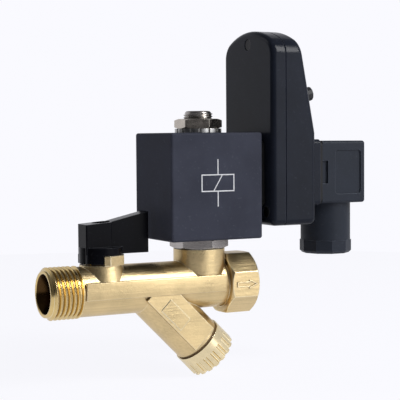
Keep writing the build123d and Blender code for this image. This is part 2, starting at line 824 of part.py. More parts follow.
with BuildPart() as coil_yoke:
    with BuildSketch(coil_line.offset(coil_low_z)):
        Rectangle(yoke_x_size, yoke_y_size)
    extrude(amount=yoke_top_z - coil_low_z)
    with BuildSketch(coil_line.offset(coil_low_z + yoke_plate)):
        Rectangle(yoke_x_size, yoke_y_size - 2 * yoke_plate)
    extrude(amount=yoke_top_z - coil_low_z - 2 * yoke_plate, mode=Mode.SUBTRACT)
    with BuildSketch(coil_line.offset(coil_low_z)):
        Circle(coil_bore_r)
    extrude(amount=yoke_top_z - coil_low_z, mode=Mode.SUBTRACT)
export(coil_yoke, "coil_yoke")

with BuildPart() as coil_bobbin:
    with BuildSketch(coil_line.offset(bobbin_low_z)):
        Circle(bobbin_flange_r)
    extrude(amount=bobbin_flange_t)
    with BuildSketch(coil_line.offset(bobbin_high_z)):
        Circle(bobbin_flange_r)
    extrude(amount=-bobbin_flange_t)
    with BuildSketch(coil_line.offset(bobbin_low_z)):
        Circle(bobbin_r)
    extrude(amount=bobbin_high_z - bobbin_low_z)
    with BuildSketch(coil_line.offset(bobbin_low_z)):
        Circle(coil_bore_r)
    extrude(amount=bobbin_high_z - bobbin_low_z, mode=Mode.SUBTRACT)
export(coil_bobbin, "coil_bobbin")

with BuildPart() as coil_winding:
    with BuildSketch(coil_line.offset(bobbin_low_z + bobbin_flange_t + fit_gap)):
        Circle(bobbin_flange_r - 0.3)
        Circle(bobbin_r + fit_gap, mode=Mode.SUBTRACT)
    extrude(amount=bobbin_high_z - bobbin_low_z - 2 * bobbin_flange_t - 2 * fit_gap)
export(coil_winding, "coil_winding")

with BuildPart() as lock_washer:
    with BuildSketch(coil_line.offset(coil_high_z)):
        Circle(washer_r)
        with PolarLocations(washer_r, washer_teeth):
            Rectangle(1.6, 1.0, mode=Mode.SUBTRACT)
        Circle(stub_r + 0.2, mode=Mode.SUBTRACT)
    extrude(amount=washer_t)
export(lock_washer, "lock_washer")

with BuildPart() as coil_nut:
    add(turned_blank(coil_line.offset(washer_top_z), 6, nut_flats, nut_t, hex_corner_drop, 30).part)
    with BuildSketch(coil_line.offset(washer_top_z)):
        Circle(stub_r + fit_gap)
    extrude(amount=nut_t, mode=Mode.SUBTRACT)
export(coil_nut, "coil_nut")

with BuildPart() as coil_terminals:
    for across, up, turned in blade_places():
        with BuildSketch(Plane.YZ.offset(coil_face_x - blade_root)):
            with Locations((across, connector_z + up)):
                Rectangle(blade_thick, blade_width, rotation=90 if turned else 0)
        extrude(amount=blade_root + blade_len)
export(coil_terminals, "coil_terminals")

with BuildPart() as coil_gasket:
    with BuildSketch(Plane.YZ.offset(coil_face_x)):
        with Locations((0, connector_z)):
            RectangleRounded(coil_gasket_size, coil_gasket_size, 2.0)
            Circle(screw_r + 1.0, mode=Mode.SUBTRACT)
        for across, up, turned in blade_places():
            with Locations((across, connector_z + up)):
                Rectangle(blade_thick + 0.6, blade_width + 0.6, rotation=90 if turned else 0,
                          mode=Mode.SUBTRACT)
    extrude(amount=coil_gasket_t)
export(coil_gasket, "coil_gasket")

# ----------------------------------------------------------------------------------------
# Timer case
# ----------------------------------------------------------------------------------------

post_places = [
    (-timer_width / 2 + post_inset, timer_low_z + post_inset),
    (timer_width / 2 - post_inset, timer_low_z + post_inset),
    (0, timer_high_z - post_inset),
]
board_post_places = [
    (side * (board_width / 2 - board_post_r - 0.5), up)
    for side in (-1, 1)
    for up in (board_post_r + 2.5, board_len - board_post_r + 1.5)
]

with BuildPart() as timer_rear_shell:
    with BuildSketch(Plane.YZ.offset(timer_rear_x)):
        add(timer_outline(0))
    extrude(amount=timer_rear_depth)
    fillet(faces().sort_by(Axis.X)[0].edges(), timer_edge_r)
    chamfer(faces().sort_by(Axis.X)[-1].edges(), seam_groove)
    with BuildSketch(Plane.YZ.offset(timer_rear_x + timer_wall)):
        add(timer_outline(timer_wall))
    extrude(amount=timer_rear_depth - timer_wall, mode=Mode.SUBTRACT)
    with BuildSketch(Plane.YZ.offset(timer_rear_x + timer_wall)):
        with Locations(*post_places):
            Circle(post_r)
    extrude(amount=timer_rear_depth - timer_wall)
    # screw holes with counterbores for the heads
    with BuildSketch(Plane.YZ.offset(timer_rear_x)):
        with Locations(*post_places):
            Circle(case_screw_r + fit_gap)
    extrude(amount=timer_rear_depth, mode=Mode.SUBTRACT)
    with BuildSketch(Plane.YZ.offset(timer_rear_x)):
        with Locations(*post_places):
            Circle(case_screw_head_r + 0.2)
    extrude(amount=case_screw_head_t, mode=Mode.SUBTRACT)
    # ports for the coil's blades and the fixing screw
    with BuildSketch(Plane.YZ.offset(timer_rear_x)):
        with Locations((0, connector_z)):
            Circle(screw_r + 0.4)
        for across, up, turned in blade_places():
            with Locations((across, connector_z + up)):
                Rectangle(blade_thick + 0.6, blade_width + 0.6, rotation=90 if turned else 0)
    extrude(amount=timer_wall, mode=Mode.SUBTRACT)
export(timer_rear_shell, "timer_rear_shell")


def front_block(inset):
    """Solid front half of the timer, drawn in by an inset all round."""
    with BuildPart() as block:
        with BuildSketch(Plane.YZ.offset(seam_x)):
            add(timer_outline(inset))
        extrude(amount=timer_front_depth - inset)
        with BuildSketch(Plane.XZ):
            add(slope_cut(inset))
        extrude(amount=timer_width, both=True, mode=Mode.SUBTRACT)
    return block


with BuildPart() as front_posts:
    with BuildSketch(Plane.YZ.offset(seam_x)):
        with Locations(*post_places):
            Circle(post_r)
    extrude(amount=timer_front_depth)
    with BuildSketch(board_plane):
        with Locations(*board_post_places):
            Circle(board_post_r)
    extrude(amount=board_depth)
    add(front_block(timer_wall / 2).part, mode=Mode.INTERSECT)

with BuildPart() as timer_front_shell:
    add(front_block(0).part)
    front_edges = edges().filter_by(lambda edge: edge.bounding_box().min.X > seam_x + 1.0)
    fillet(front_edges.filter_by(Axis.Y, reverse=True), timer_edge_r)
    chamfer(faces().sort_by(Axis.X)[0].edges(), seam_groove)
    # raised socket for the plug
    with BuildSketch(Plane.YZ.offset(timer_front_x - timer_wall / 2)):
        with Locations((0, connector_z)):
            RectangleRounded(socket_boss_size, socket_boss_size, 2.0)
    extrude(amount=socket_boss_len + timer_wall / 2)
    add(front_block(timer_wall).part, mode=Mode.SUBTRACT)
    add(front_posts.part)
    with BuildSketch(board_plane):
        with Locations(*board_post_places):
            Circle(0.8 + fit_gap)
    extrude(amount=5.0, mode=Mode.SUBTRACT)
    # pilot holes of the case screws
    with BuildSketch(Plane.YZ.offset(seam_x)):
        with Locations(*post_places):
            Circle(case_screw_r + fit_gap)
    extrude(amount=timer_front_depth / 2 - 2.0, mode=Mode.SUBTRACT)
    # the fixing screw's hole and the front blades' slots
    with BuildSketch(Plane.YZ.offset(timer_front_x - timer_wall)):
        with Locations((0, connector_z)):
            Circle(screw_r + 0.4)
        for across, up, turned in blade_places():
            with Locations((across, connector_z + up)):
                Rectangle(blade_thick + 2 * fit_gap, blade_width + 2 * fit_gap, rotation=90 if turned else 0)
    extrude(amount=timer_wall + socket_boss_len, mode=Mode.SUBTRACT)
    # openings of the controls
    with BuildSketch(slope_plane):
        with Locations((-knob_spread / 2, knob_up), (knob_spread / 2, knob_up)):
            Circle(knob_shaft_r + lift_gap)
        with Locations((-led_spread / 2, led_up), (led_spread / 2, led_up)):
            Circle(led_r + 0.1)
        with Locations((0, button_up)):
            Circle(button_r + lift_gap)
    extrude(amount=1.5 * timer_wall, both=True, mode=Mode.SUBTRACT)
export(timer_front_shell, "timer_front_shell")

with BuildPart() as case_screws:
    with BuildSketch(Plane.YZ.offset(timer_rear_x + 0.2)):
        with Locations(*post_places):
            Circle(case_screw_head_r)
    extrude(amount=case_screw_head_t - 0.2)
    with BuildSketch(Plane.YZ.offset(timer_rear_x + case_screw_head_t)):
        with Locations(*post_places):
            Circle(case_screw_r)
    extrude(amount=timer_rear_depth - case_screw_head_t + timer_front_depth / 3)
export(case_screws, "case_screws")

with BuildPart() as timer_circuit_board:
    with BuildSketch(board_plane):
        with Locations((0, board_len / 2 + 2.0)):
            Rectangle(board_width, board_len)
        with Locations(*board_post_places):
            Circle(0.9 + fit_gap, mode=Mode.SUBTRACT)
    extrude(amount=-board_t)
export(timer_circuit_board, "timer_circuit_board")

with BuildPart() as board_screws:
    with BuildSketch(board_plane.offset(-board_t)):
        with Locations(*board_post_places):
            Circle(0.8)
    extrude(amount=board_t + 4.0)
    with BuildSketch(board_plane.offset(-board_t)):
        with Locations(*board_post_places):
            Circle(1.5)
    extrude(amount=-0.7)
export(board_screws, "board_screws")

with BuildPart() as board_components:
    # two potentiometers with bores for the knobs' shafts
    with BuildSketch(board_plane):
        with Locations((-knob_spread / 2, knob_up), (knob_spread / 2, knob_up)):
            Rectangle(pot_size, pot_size)
    extrude(amount=pot_t)
    with BuildSketch(board_plane.offset(pot_t)):
        with Locations((-knob_spread / 2, knob_up), (knob_spread / 2, knob_up)):
            Circle(knob_shaft_r + running_gap)
    extrude(amount=-pot_t + 1.0, mode=Mode.SUBTRACT)
    # test switch, relay and capacitor
    with BuildSketch(board_plane):
        with Locations((0, button_up)):
            Rectangle(switch_size, switch_size)
    extrude(amount=switch_t)
    with BuildSketch(board_plane):
        with Locations((0, button_up + switch_size / 2 + 1.0 + relay_size / 2)):
            Rectangle(relay_size, relay_size)
    extrude(amount=0.6 * board_depth)
    with BuildSketch(board_plane):
        with Locations((0, button_up + switch_size / 2 + 2.0 + relay_size + capacitor_r)):
            Circle(capacitor_r)
    extrude(amount=0.7 * board_depth)
export(board_components, "board_components")

with BuildPart() as led_lenses:
    with BuildSketch(board_plane):
        with Locations((-led_spread / 2, led_up), (led_spread / 2, led_up)):
            Circle(led_r)
    extrude(amount=board_depth + 1.2)
    fillet(edges().filter_by(GeomType.CIRCLE).sort_by(Axis.X)[-2:], 0.9)
export(led_lenses, "led_lenses")

with BuildPart() as terminal_carrier:
    with BuildSketch(Plane.YZ.offset(carrier_x)):
        with Locations((0, connector_z)):
            Rectangle(carrier_size, carrier_size)
            Circle(screw_r + 0.4, mode=Mode.SUBTRACT)
    extrude(amount=carrier_len)
    for across, up, turned in blade_places():
        with BuildSketch(Plane.YZ.offset(carrier_x)):
            with Locations((across, connector_z + up)):
                Rectangle(blade_thick + 2 * clip_wall + 4 * fit_gap, blade_width + 2 * clip_wall + 4 * fit_gap,
                          rotation=90 if turned else 0)
        extrude(amount=clip_len + fit_gap, mode=Mode.SUBTRACT)
        with BuildSketch(Plane.YZ.offset(carrier_x + carrier_len)):
            with Locations((across, connector_z + up)):
                Rectangle(blade_thick + 2 * fit_gap, blade_width + 2 * fit_gap, rotation=90 if turned else 0)
        extrude(amount=-blade_root - fit_gap, mode=Mode.SUBTRACT)
export(terminal_carrier, "terminal_carrier")


def clips(start_x):
    """Three female contacts, each a folded brass clip round one blade's path."""
    with BuildPart() as group:
        for across, up, turned in blade_places():
            with BuildSketch(Plane.YZ.offset(start_x)):
                with Locations((across, connector_z + up)):
                    Rectangle(blade_thick + 2 * clip_wall + 2 * fit_gap, blade_width + 2 * clip_wall + 2 * fit_gap,
                              rotation=90 if turned else 0)
                    Rectangle(blade_thick + 2 * fit_gap, blade_width + 2 * fit_gap,
                              rotation=90 if turned else 0, mode=Mode.SUBTRACT)
            extrude(amount=clip_len)
    return group


timer_sockets = clips(carrier_x)
export(timer_sockets, "timer_sockets")

with BuildPart() as timer_blades:
    for across, up, turned in blade_places():
        with BuildSketch(Plane.YZ.offset(carrier_x + carrier_len - blade_root)):
            with Locations((across, connector_z + up)):
                Rectangle(blade_thick, blade_width, rotation=90 if turned else 0)
        extrude(amount=blade_root + fit_gap + timer_wall + socket_boss_len + blade_len)
export(timer_blades, "timer_blades")

# ----------------------------------------------------------------------------------------
# Controls
# ----------------------------------------------------------------------------------------

for side, name in ((-1, "on_time_knob"), (1, "off_time_knob")):
    with BuildPart() as knob:
        with BuildSketch(slope_plane.offset(lift_gap)):
            with Locations((side * knob_spread / 2, knob_up)):
                RegularPolygon(knob_r, 12)
        extrude(amount=knob_t)
        with BuildSketch(board_plane.offset(1.0 + lift_gap)):
            with Locations((side * knob_spread / 2, knob_up)):
                Circle(knob_shaft_r)
        extrude(amount=board_depth - 1.0)
        with BuildSketch(slope_plane.offset(lift_gap + knob_t)):
            with Locations((side * knob_spread / 2, knob_up + knob_r / 2)):
                Rectangle(0.7, knob_r)
        extrude(amount=-0.8, mode=Mode.SUBTRACT)
    export(knob, name)

with BuildPart() as test_button:
    with BuildSketch(slope_plane.offset(-timer_wall - lift_gap - 0.8)):
        with Locations((0, button_up)):
            Circle(button_r + 0.9)
    extrude(amount=0.8)
    with BuildSketch(slope_plane.offset(-timer_wall - lift_gap)):
        with Locations((0, button_up)):
            Circle(button_r)
    extrude(amount=timer_wall + lift_gap + button_t)
    chamfer(edges().filter_by(GeomType.CIRCLE).sort_by(Axis.X)[-1], 0.5)
    with BuildSketch(board_plane.offset(switch_t + button_travel + 0.2)):
        with Locations((0, button_up)):
            Circle(button_stem_r)
    extrude(amount=board_depth - switch_t - button_travel - timer_wall)
export(test_button, "test_button")

# ----------------------------------------------------------------------------------------
# Plug
# ----------------------------------------------------------------------------------------

with BuildPart() as plug_gasket:
    with BuildSketch(Plane.YZ.offset(boss_face_x)):
        with Locations((0, connector_z)):
            RectangleRounded(plug_width, plug_height, 2.0)
            Circle(screw_r + 1.0, mode=Mode.SUBTRACT)
        for across, up, turned in blade_places():
            with Locations((across, connector_z + up)):
                Rectangle(blade_thick + 0.6, blade_width + 0.6, rotation=90 if turned else 0,
                          mode=Mode.SUBTRACT)
    extrude(amount=plug_gasket_t)
export(plug_gasket, "plug_gasket")

with BuildPart() as plug_housing:
    with BuildSketch(Plane.YZ.offset(plug_x)):
        with Locations((0, connector_z)):
            Rectangle(plug_width, plug_height)
    extrude(amount=plug_depth)
    fillet(edges().filter_by(Axis.X) + faces().sort_by(Axis.X)[-1].edges(), plug_round)
    with BuildSketch(Plane(origin=(gland_x, 0, plug_low_z))):
        Circle(gland_r)
    extrude(amount=-gland_len)
    # hollow for the contact insert and the wires' room behind it
    with BuildSketch(Plane.YZ.offset(plug_x)):
        with Locations((0, connector_z)):
            Rectangle(plug_width - 2 * plug_wall, plug_height - 2 * plug_wall)
    extrude(amount=plug_depth - plug_wall, mode=Mode.SUBTRACT)
    # screw hole with a counterbore in the back
    with BuildSketch(Plane.YZ.offset(plug_end_x)):
        with Locations((0, connector_z)):
            Circle(screw_r + 0.2)
    extrude(amount=-plug_wall, mode=Mode.SUBTRACT)
    # cable throat and the seat of the grommet
    with BuildSketch(Plane(origin=(gland_x, 0, gland_low_z))):
        Circle(gland_throat_r)
    extrude(amount=gland_len + plug_wall, mode=Mode.SUBTRACT)
    with BuildSketch(Plane(origin=(gland_x, 0, gland_low_z))):
        Circle(gland_bore_r)
    extrude(amount=grommet_len + gland_washer_t, mode=Mode.SUBTRACT)
    # shallow blank recess and latch slot in both cheeks
    for side in (-1, 1):
        cheek = Plane(origin=(plug_x, side * plug_width / 2, connector_z), x_dir=(1, 0, 0), z_dir=(0, -1, 0))
        with BuildSketch(cheek):
            with Locations((recess_from + recess_width / 2, 0)):
                RectangleRounded(recess_width, recess_height, 1.5)
        extrude(amount=side * recess_depth, mode=Mode.SUBTRACT)
        with BuildSketch(cheek):
            with Locations((latch_len / 2, 0)):
                Rectangle(latch_len, latch_height)
        extrude(amount=side * latch_depth, mode=Mode.SUBTRACT)
export(plug_housing, "plug_housing")

with BuildPart() as plug_insert:
    with BuildSketch(Plane.YZ.offset(insert_x)):
        with Locations((0, connector_z)):
            Rectangle(plug_width - 2 * plug_wall - 2 * fit_gap, plug_height - 2 * plug_wall - 2 * fit_gap)
            Circle(screw_r + 0.4, mode=Mode.SUBTRACT)
    extrude(amount=insert_len)
    for across, up, turned in blade_places():
        with BuildSketch(Plane.YZ.offset(insert_x)):
            with Locations((across, connector_z + up)):
                Rectangle(blade_thick + 2 * clip_wall + 4 * fit_gap, blade_width + 2 * clip_wall + 4 * fit_gap,
                          rotation=90 if turned else 0)
        extrude(amount=clip_len + fit_gap, mode=Mode.SUBTRACT)
export(plug_insert, "plug_insert")

plug_contacts = clips(insert_x)
export(plug_contacts, "plug_contacts")

with BuildPart() as fixing_screw:
    with BuildSketch(Plane.YZ.offset(coil_face_x - screw_bite + fit_gap)):
        with Locations((0, connector_z)):
            Circle(screw_r)
    extrude(amount=plug_end_x - coil_face_x + screw_bite - fit_gap)
    with BuildSketch(Plane.YZ.offset(plug_end_x)):
        with Locations((0, connector_z)):
            Circle(screw_head_r)
    extrude(amount=screw_head_t)
    chamfer(faces().sort_by(Axis.X)[-1].edges(), 0.5)
    with BuildSketch(Plane.YZ.offset(plug_end_x + screw_head_t)):
        with Locations((0, connector_z)):
            Rectangle(0.8, 4.0)
    extrude(amount=-1.0, mode=Mode.SUBTRACT)
export(fixing_screw, "fixing_screw")

with BuildPart() as gland_grommet:
    with BuildSketch(Plane(origin=(gland_x, 0, gland_low_z + gland_washer_t))):
        Circle(gland_bore_r - fit_gap)
        Circle(cable_r, mode=Mode.SUBTRACT)
    extrude(amount=grommet_len)
export(gland_grommet, "gland_grommet")

with BuildPart() as gland_washer:
    with BuildSketch(Plane(origin=(gland_x, 0, gland_low_z))):
        Circle(gland_bore_r - fit_gap)
        Circle(gland_nut_hole_r, mode=Mode.SUBTRACT)
    extrude(amount=gland_washer_t)
export(gland_washer, "gland_washer")

with BuildPart() as gland_nut:
    with BuildSketch(Plane(origin=(gland_x, 0, gland_low_z))):
        RegularPolygon(gland_nut_r, 10)
    extrude(amount=-gland_nut_len)
    chamfer(faces().sort_by(Axis.Z)[0].edges(), 1.0)
    with BuildSketch(Plane(origin=(gland_x, 0, gland_low_z))):
        Circle(gland_nut_hole_r)
    extrude(amount=-gland_nut_len, mode=Mode.SUBTRACT)
export(gland_nut, "gland_nut")
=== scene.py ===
"""Looks of the automatic drain valve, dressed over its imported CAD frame.

Lengths are metres in the frame's own axes: +X runs with the flow, +Z points up the
solenoid and -Y is the flank that carries the flow arrow.
"""

import json
import logging
import math
from dataclasses import dataclass
from enum import Enum
from typing import Callable, Dict, Iterable, List, Optional, Protocol, Sequence, Tuple, Union

import bmesh
import bpy
from mathutils import Matrix, Vector

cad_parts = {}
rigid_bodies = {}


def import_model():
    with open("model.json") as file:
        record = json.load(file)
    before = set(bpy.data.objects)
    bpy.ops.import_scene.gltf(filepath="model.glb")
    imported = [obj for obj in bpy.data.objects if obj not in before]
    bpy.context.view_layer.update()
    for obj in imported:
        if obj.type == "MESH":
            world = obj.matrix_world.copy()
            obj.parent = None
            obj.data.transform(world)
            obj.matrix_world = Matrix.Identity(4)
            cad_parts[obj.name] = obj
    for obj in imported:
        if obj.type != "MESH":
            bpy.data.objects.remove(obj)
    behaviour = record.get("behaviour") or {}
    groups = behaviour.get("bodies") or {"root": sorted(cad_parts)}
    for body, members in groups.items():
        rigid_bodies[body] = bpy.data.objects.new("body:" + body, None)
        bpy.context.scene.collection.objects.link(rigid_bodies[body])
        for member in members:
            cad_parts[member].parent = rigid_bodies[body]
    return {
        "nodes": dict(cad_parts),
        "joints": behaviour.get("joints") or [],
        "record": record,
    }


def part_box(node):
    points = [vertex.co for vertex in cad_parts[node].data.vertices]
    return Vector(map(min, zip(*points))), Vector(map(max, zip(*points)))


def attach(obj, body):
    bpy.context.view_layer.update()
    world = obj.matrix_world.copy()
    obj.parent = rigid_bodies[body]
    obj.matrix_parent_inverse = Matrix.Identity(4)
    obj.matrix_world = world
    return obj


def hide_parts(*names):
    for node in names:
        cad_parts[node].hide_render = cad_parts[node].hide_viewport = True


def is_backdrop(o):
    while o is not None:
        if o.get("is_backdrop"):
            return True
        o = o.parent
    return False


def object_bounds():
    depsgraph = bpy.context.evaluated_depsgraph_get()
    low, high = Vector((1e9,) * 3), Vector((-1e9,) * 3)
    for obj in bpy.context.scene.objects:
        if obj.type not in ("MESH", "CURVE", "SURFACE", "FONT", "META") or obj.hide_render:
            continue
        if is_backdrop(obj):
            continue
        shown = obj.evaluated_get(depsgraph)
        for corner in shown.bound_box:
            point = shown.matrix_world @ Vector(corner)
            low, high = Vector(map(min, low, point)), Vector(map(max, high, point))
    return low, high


LOG = logging.getLogger("drain_valve")
MM = 0.001
MERGE = 1e-7
RAYS = 6
# Range of the edge mask, which lays lightened edges that are partly painted highlight.
EDGE_SPAN = (0.999, 0.955)
HOLLOW_SPAN = (0.75, 0.15)
VALVE = "valve"
Colour = Tuple[float, float, float]
Point2 = Tuple[float, float]
Point3 = Tuple[float, float, float]
Socket = bpy.types.NodeSocket
MeshPart = Union[bmesh.types.BMVert, bmesh.types.BMEdge, bmesh.types.BMFace]


# ----------------------------------------------------------------------------------------
# Shader building
# ----------------------------------------------------------------------------------------


class NodeNet:
    """A node tree being filled, with the steps that finishes, floor and world share."""

    def __init__(self, tree: bpy.types.NodeTree) -> None:
        """Take over a tree and empty it."""
        self.tree = tree
        tree.nodes.clear()

    def node(self, kind: str, **settings: object) -> bpy.types.Node:
        """Add a node.

        Args:
            kind: the node's type.
            **settings: its properties.

        Returns:
            The new node.
        """
        made = self.tree.nodes.new(kind)
        for key, value in settings.items():
            setattr(made, key, value)
        return made

    def join(self, source: Socket, target: Socket) -> None:
        """Link two sockets."""
        self.tree.links.new(source, target)

    def feed(self, target: Socket, value: Union[Socket, float, Sequence[float]]) -> None:
        """Give a socket its value.

        Args:
            target: the socket.
            value: another socket to link to it, or a plain value to set.
        """
        if isinstance(value, Socket):
            self.join(value, target)
        else:
            target.default_value = value

    def calculate(self, operation: str, *values: Union[Socket, float]) -> Socket:
        """Work out a sum.

        Args:
            operation: the Math node's operation.
            *values: its inputs in order, each a socket or a number.

        Returns:
            The result's socket.
        """
        node = self.node("ShaderNodeMath", operation=operation)
        for target, value in zip(node.inputs, values):
            self.feed(target, value)
        return node.outputs[0]

    def dot(self, first: Socket, second: Union[Socket, Sequence[float]]) -> Socket:
        """Work out a dot product.

        Args:
            first: the first vector's socket.
            second: the second vector, as a socket or as plain numbers.

        Returns:
            The result's socket.
        """
        node = self.node("ShaderNodeVectorMath", operation="DOT_PRODUCT")
        self.feed(node.inputs[0], first)
        self.feed(node.inputs[1], second)
        return node.outputs["Value"]

    def remap(self, source: Socket, old: Point2, new: Point2, smooth: bool = False) -> Socket:
        """Map a value from one range to another, clamped.

        Args:
            source: the value's socket.
            old: the range that it comes from.
            new: the range that it goes to.
            smooth: whether it eases in and out.

        Returns:
            The mapped value's socket.
        """
        ranger = self.node("ShaderNodeMapRange", interpolation_type="SMOOTHSTEP" if smooth else "LINEAR", clamp=True)
        for key, value in zip(("From Min", "From Max", "To Min", "To Max"), old + new):
            ranger.inputs[key].default_value = value
        self.join(source, ranger.inputs["Value"])
        return ranger.outputs["Result"]

    def choose(self, factor: Socket, first: Socket, second: Socket) -> Socket:
        """Mix two shaders.

        Args:
            factor: the second shader's share.
            first: the first shader's socket.
            second: the second shader's socket.

        Returns:
            The mixed shader's socket.
        """
        mix = self.node("ShaderNodeMixShader")
        for target, source in zip(mix.inputs, (factor, first, second)):
            self.join(source, target)
        return mix.outputs[0]

    def surface(self, kind: str, shader: Socket) -> None:
        """Link a shader to a new output node."""
        self.join(shader, self.node(kind).inputs["Surface"])


class ShaderTree(NodeNet):
    """One material's nodes round a Principled shader."""

    def __init__(self, name: str) -> None:
        """Start a material with a Principled shader on its output.

        Args:
            name: the material's name.
        """
        self.material = bpy.data.materials.new(name)
        self.material.use_nodes = True
        super().__init__(self.material.node_tree)
        self.shader = self.node("ShaderNodeBsdfPrincipled")
        self.surface("ShaderNodeOutputMaterial", self.shader.outputs["BSDF"])
        self.place = self.node("ShaderNodeTexCoord").outputs["Object"]

    def constants(self, **values: float) -> None:
        """Set the Principled shader's own sockets; underscores stand for spaces in their names."""
        for key, value in values.items():
            self.shader.inputs[key.replace("_", " ")].default_value = value

    def noise(self, feature: float, detail: float = 3.0, stretch: Point3 = (1, 1, 1),
              turn: Point3 = (0, 0, 0)) -> Socket:
        """Noise on the object's own coordinates.

        Args:
            feature: width of one blob, in metres.
            detail: octaves of finer noise.
            stretch: factor per axis; a small one draws the blobs out along that axis.
            turn: turn of the pattern in degrees about X, Y and Z.

        Returns:
            The noise's factor socket.
        """
        turned, stretched = self.node("ShaderNodeMapping"), self.node("ShaderNodeMapping")
        turned.inputs["Rotation"].default_value = [math.radians(a) for a in turn]
        stretched.inputs["Scale"].default_value = stretch
        texture = self.node("ShaderNodeTexNoise")
        texture.inputs["Scale"].default_value = 1.0 / feature
        texture.inputs["Detail"].default_value = detail
        self.join(self.place, turned.inputs["Vector"])
        self.join(turned.outputs["Vector"], stretched.inputs["Vector"])
        self.join(stretched.outputs["Vector"], texture.inputs["Vector"])
        return texture.outputs[0]

    def mask(self, source: Socket, span: Point2) -> Socket:
        """Map a value to a mask that is 0 at the span's first end and 1 at its second."""
        return self.remap(source, span, (0.0, 1.0))

    def sums(self, first: Socket, second: Socket, share: float) -> Socket:
        """Return the first value plus a share of the second."""
        return self.calculate("MULTIPLY_ADD", second, share, first)

    def roughen(self, pattern: Socket, span: Point2, roughness: float, spread: Point2) -> Socket:
        """Vary the roughness with a pattern.

        Args:
            pattern: the pattern's socket.
            span: the values of the pattern that give the smoothest and the roughest spots.
            roughness: the finish's own roughness.
            spread: factors on it at those two spots.

        Returns:
            The roughness's socket.
        """
        return self.remap(pattern, span, (roughness * spread[0], roughness * spread[1]))

    def blend(self, factor: Socket, low: Union[Socket, Colour], high: Union[Socket, Colour]) -> Socket:
        """Mix two colours.

        Args:
            factor: the second colour's share.
            low: the first colour, as a socket or as plain numbers.
            high: the second colour, likewise.

        Returns:
            The mixed colour's socket.
        """
        mix = self.node("ShaderNodeMix", data_type="RGBA")
        self.join(factor, mix.inputs["Factor"])
        for target, value in ((mix.inputs[6], low), (mix.inputs[7], high)):
            self.feed(target, value if isinstance(value, Socket) else (*value, 1.0))
        return mix.outputs[2]

    def rounded(self, radius: float) -> Socket:
        """Normal of the surface with its edges softened.

        Args:
            radius: the radius that the edges seem to have.

        Returns:
            The softened normal's socket.
        """
        soft = self.node("ShaderNodeBevel", samples=RAYS)
        soft.inputs["Radius"].default_value = radius
        return soft.outputs["Normal"]

    def edges(self, soft: Socket) -> Socket:
        """Mask that is 1 along the edges which a softened normal rounds off."""
        return self.mask(self.dot(soft, self.node("ShaderNodeNewGeometry").outputs["Normal"]), EDGE_SPAN)

    def hollows(self, reach: float) -> Socket:
        """Mask of the corners and gaps, where painted shade goes.

        Args:
            reach: how wide a gap may be to count as one.

        Returns:
            The socket of a mask that is 1 deep inside them.
        """
        node = self.node("ShaderNodeAmbientOcclusion", samples=RAYS)
        node.inputs["Distance"].default_value = reach
        return self.mask(node.outputs["AO"], HOLLOW_SPAN)

    def off_axis(self) -> Socket:
        """Distance from the pipe's line, the X axis.

        Returns:
            The distance's socket.
        """
        flat = self.node("ShaderNodeVectorMath", operation="MULTIPLY")
        flat.inputs[1].default_value = (0.0, 1.0, 1.0)
        self.join(self.place, flat.inputs[0])
        length = self.node("ShaderNodeVectorMath", operation="LENGTH")
        self.join(flat.outputs["Vector"], length.inputs[0])
        return length.outputs["Value"]

    def bump(self, height: Socket, depth: float, normal: Optional[Socket] = None) -> Socket:
        """Bumped normal.

        Args:
            height: the height pattern, from 0 to 1.
            depth: real depth of the pattern in metres.
            normal: normal to start from, if not the surface's own.

        Returns:
            The bumped normal's socket.
        """
        node = self.node("ShaderNodeBump")
        node.inputs["Strength"].default_value = 1.0
        node.inputs["Distance"].default_value = depth
        self.join(height, node.inputs["Height"])
        if normal is not None:
            self.join(normal, node.inputs["Normal"])
        return node.outputs["Normal"]

    def wire(self, colour: Socket, roughness: Socket, normal: Socket) -> bpy.types.Material:
        """Link the finished patterns to the shader.

        Args:
            colour: the base colour's socket.
            roughness: the roughness's socket.
            normal: the bumped normal's socket.

        Returns:
            The finished material.
        """
        for source, name in ((colour, "Base Color"), (roughness, "Roughness"), (normal, "Normal")):
            self.join(source, self.shader.inputs[name])
        return self.material


def shade(colour: Colour, factor: float) -> Colour:
    """Return a colour made darker or lighter by a factor."""
    return tuple(min(1.0, c * factor) for c in colour)


# ----------------------------------------------------------------------------------------
# Finishes
# ----------------------------------------------------------------------------------------


class Finish(Protocol):
    """What every finish has: a name, and a method that builds its material."""

    name: str

    def build(self) -> bpy.types.Material:
        """Build the material."""


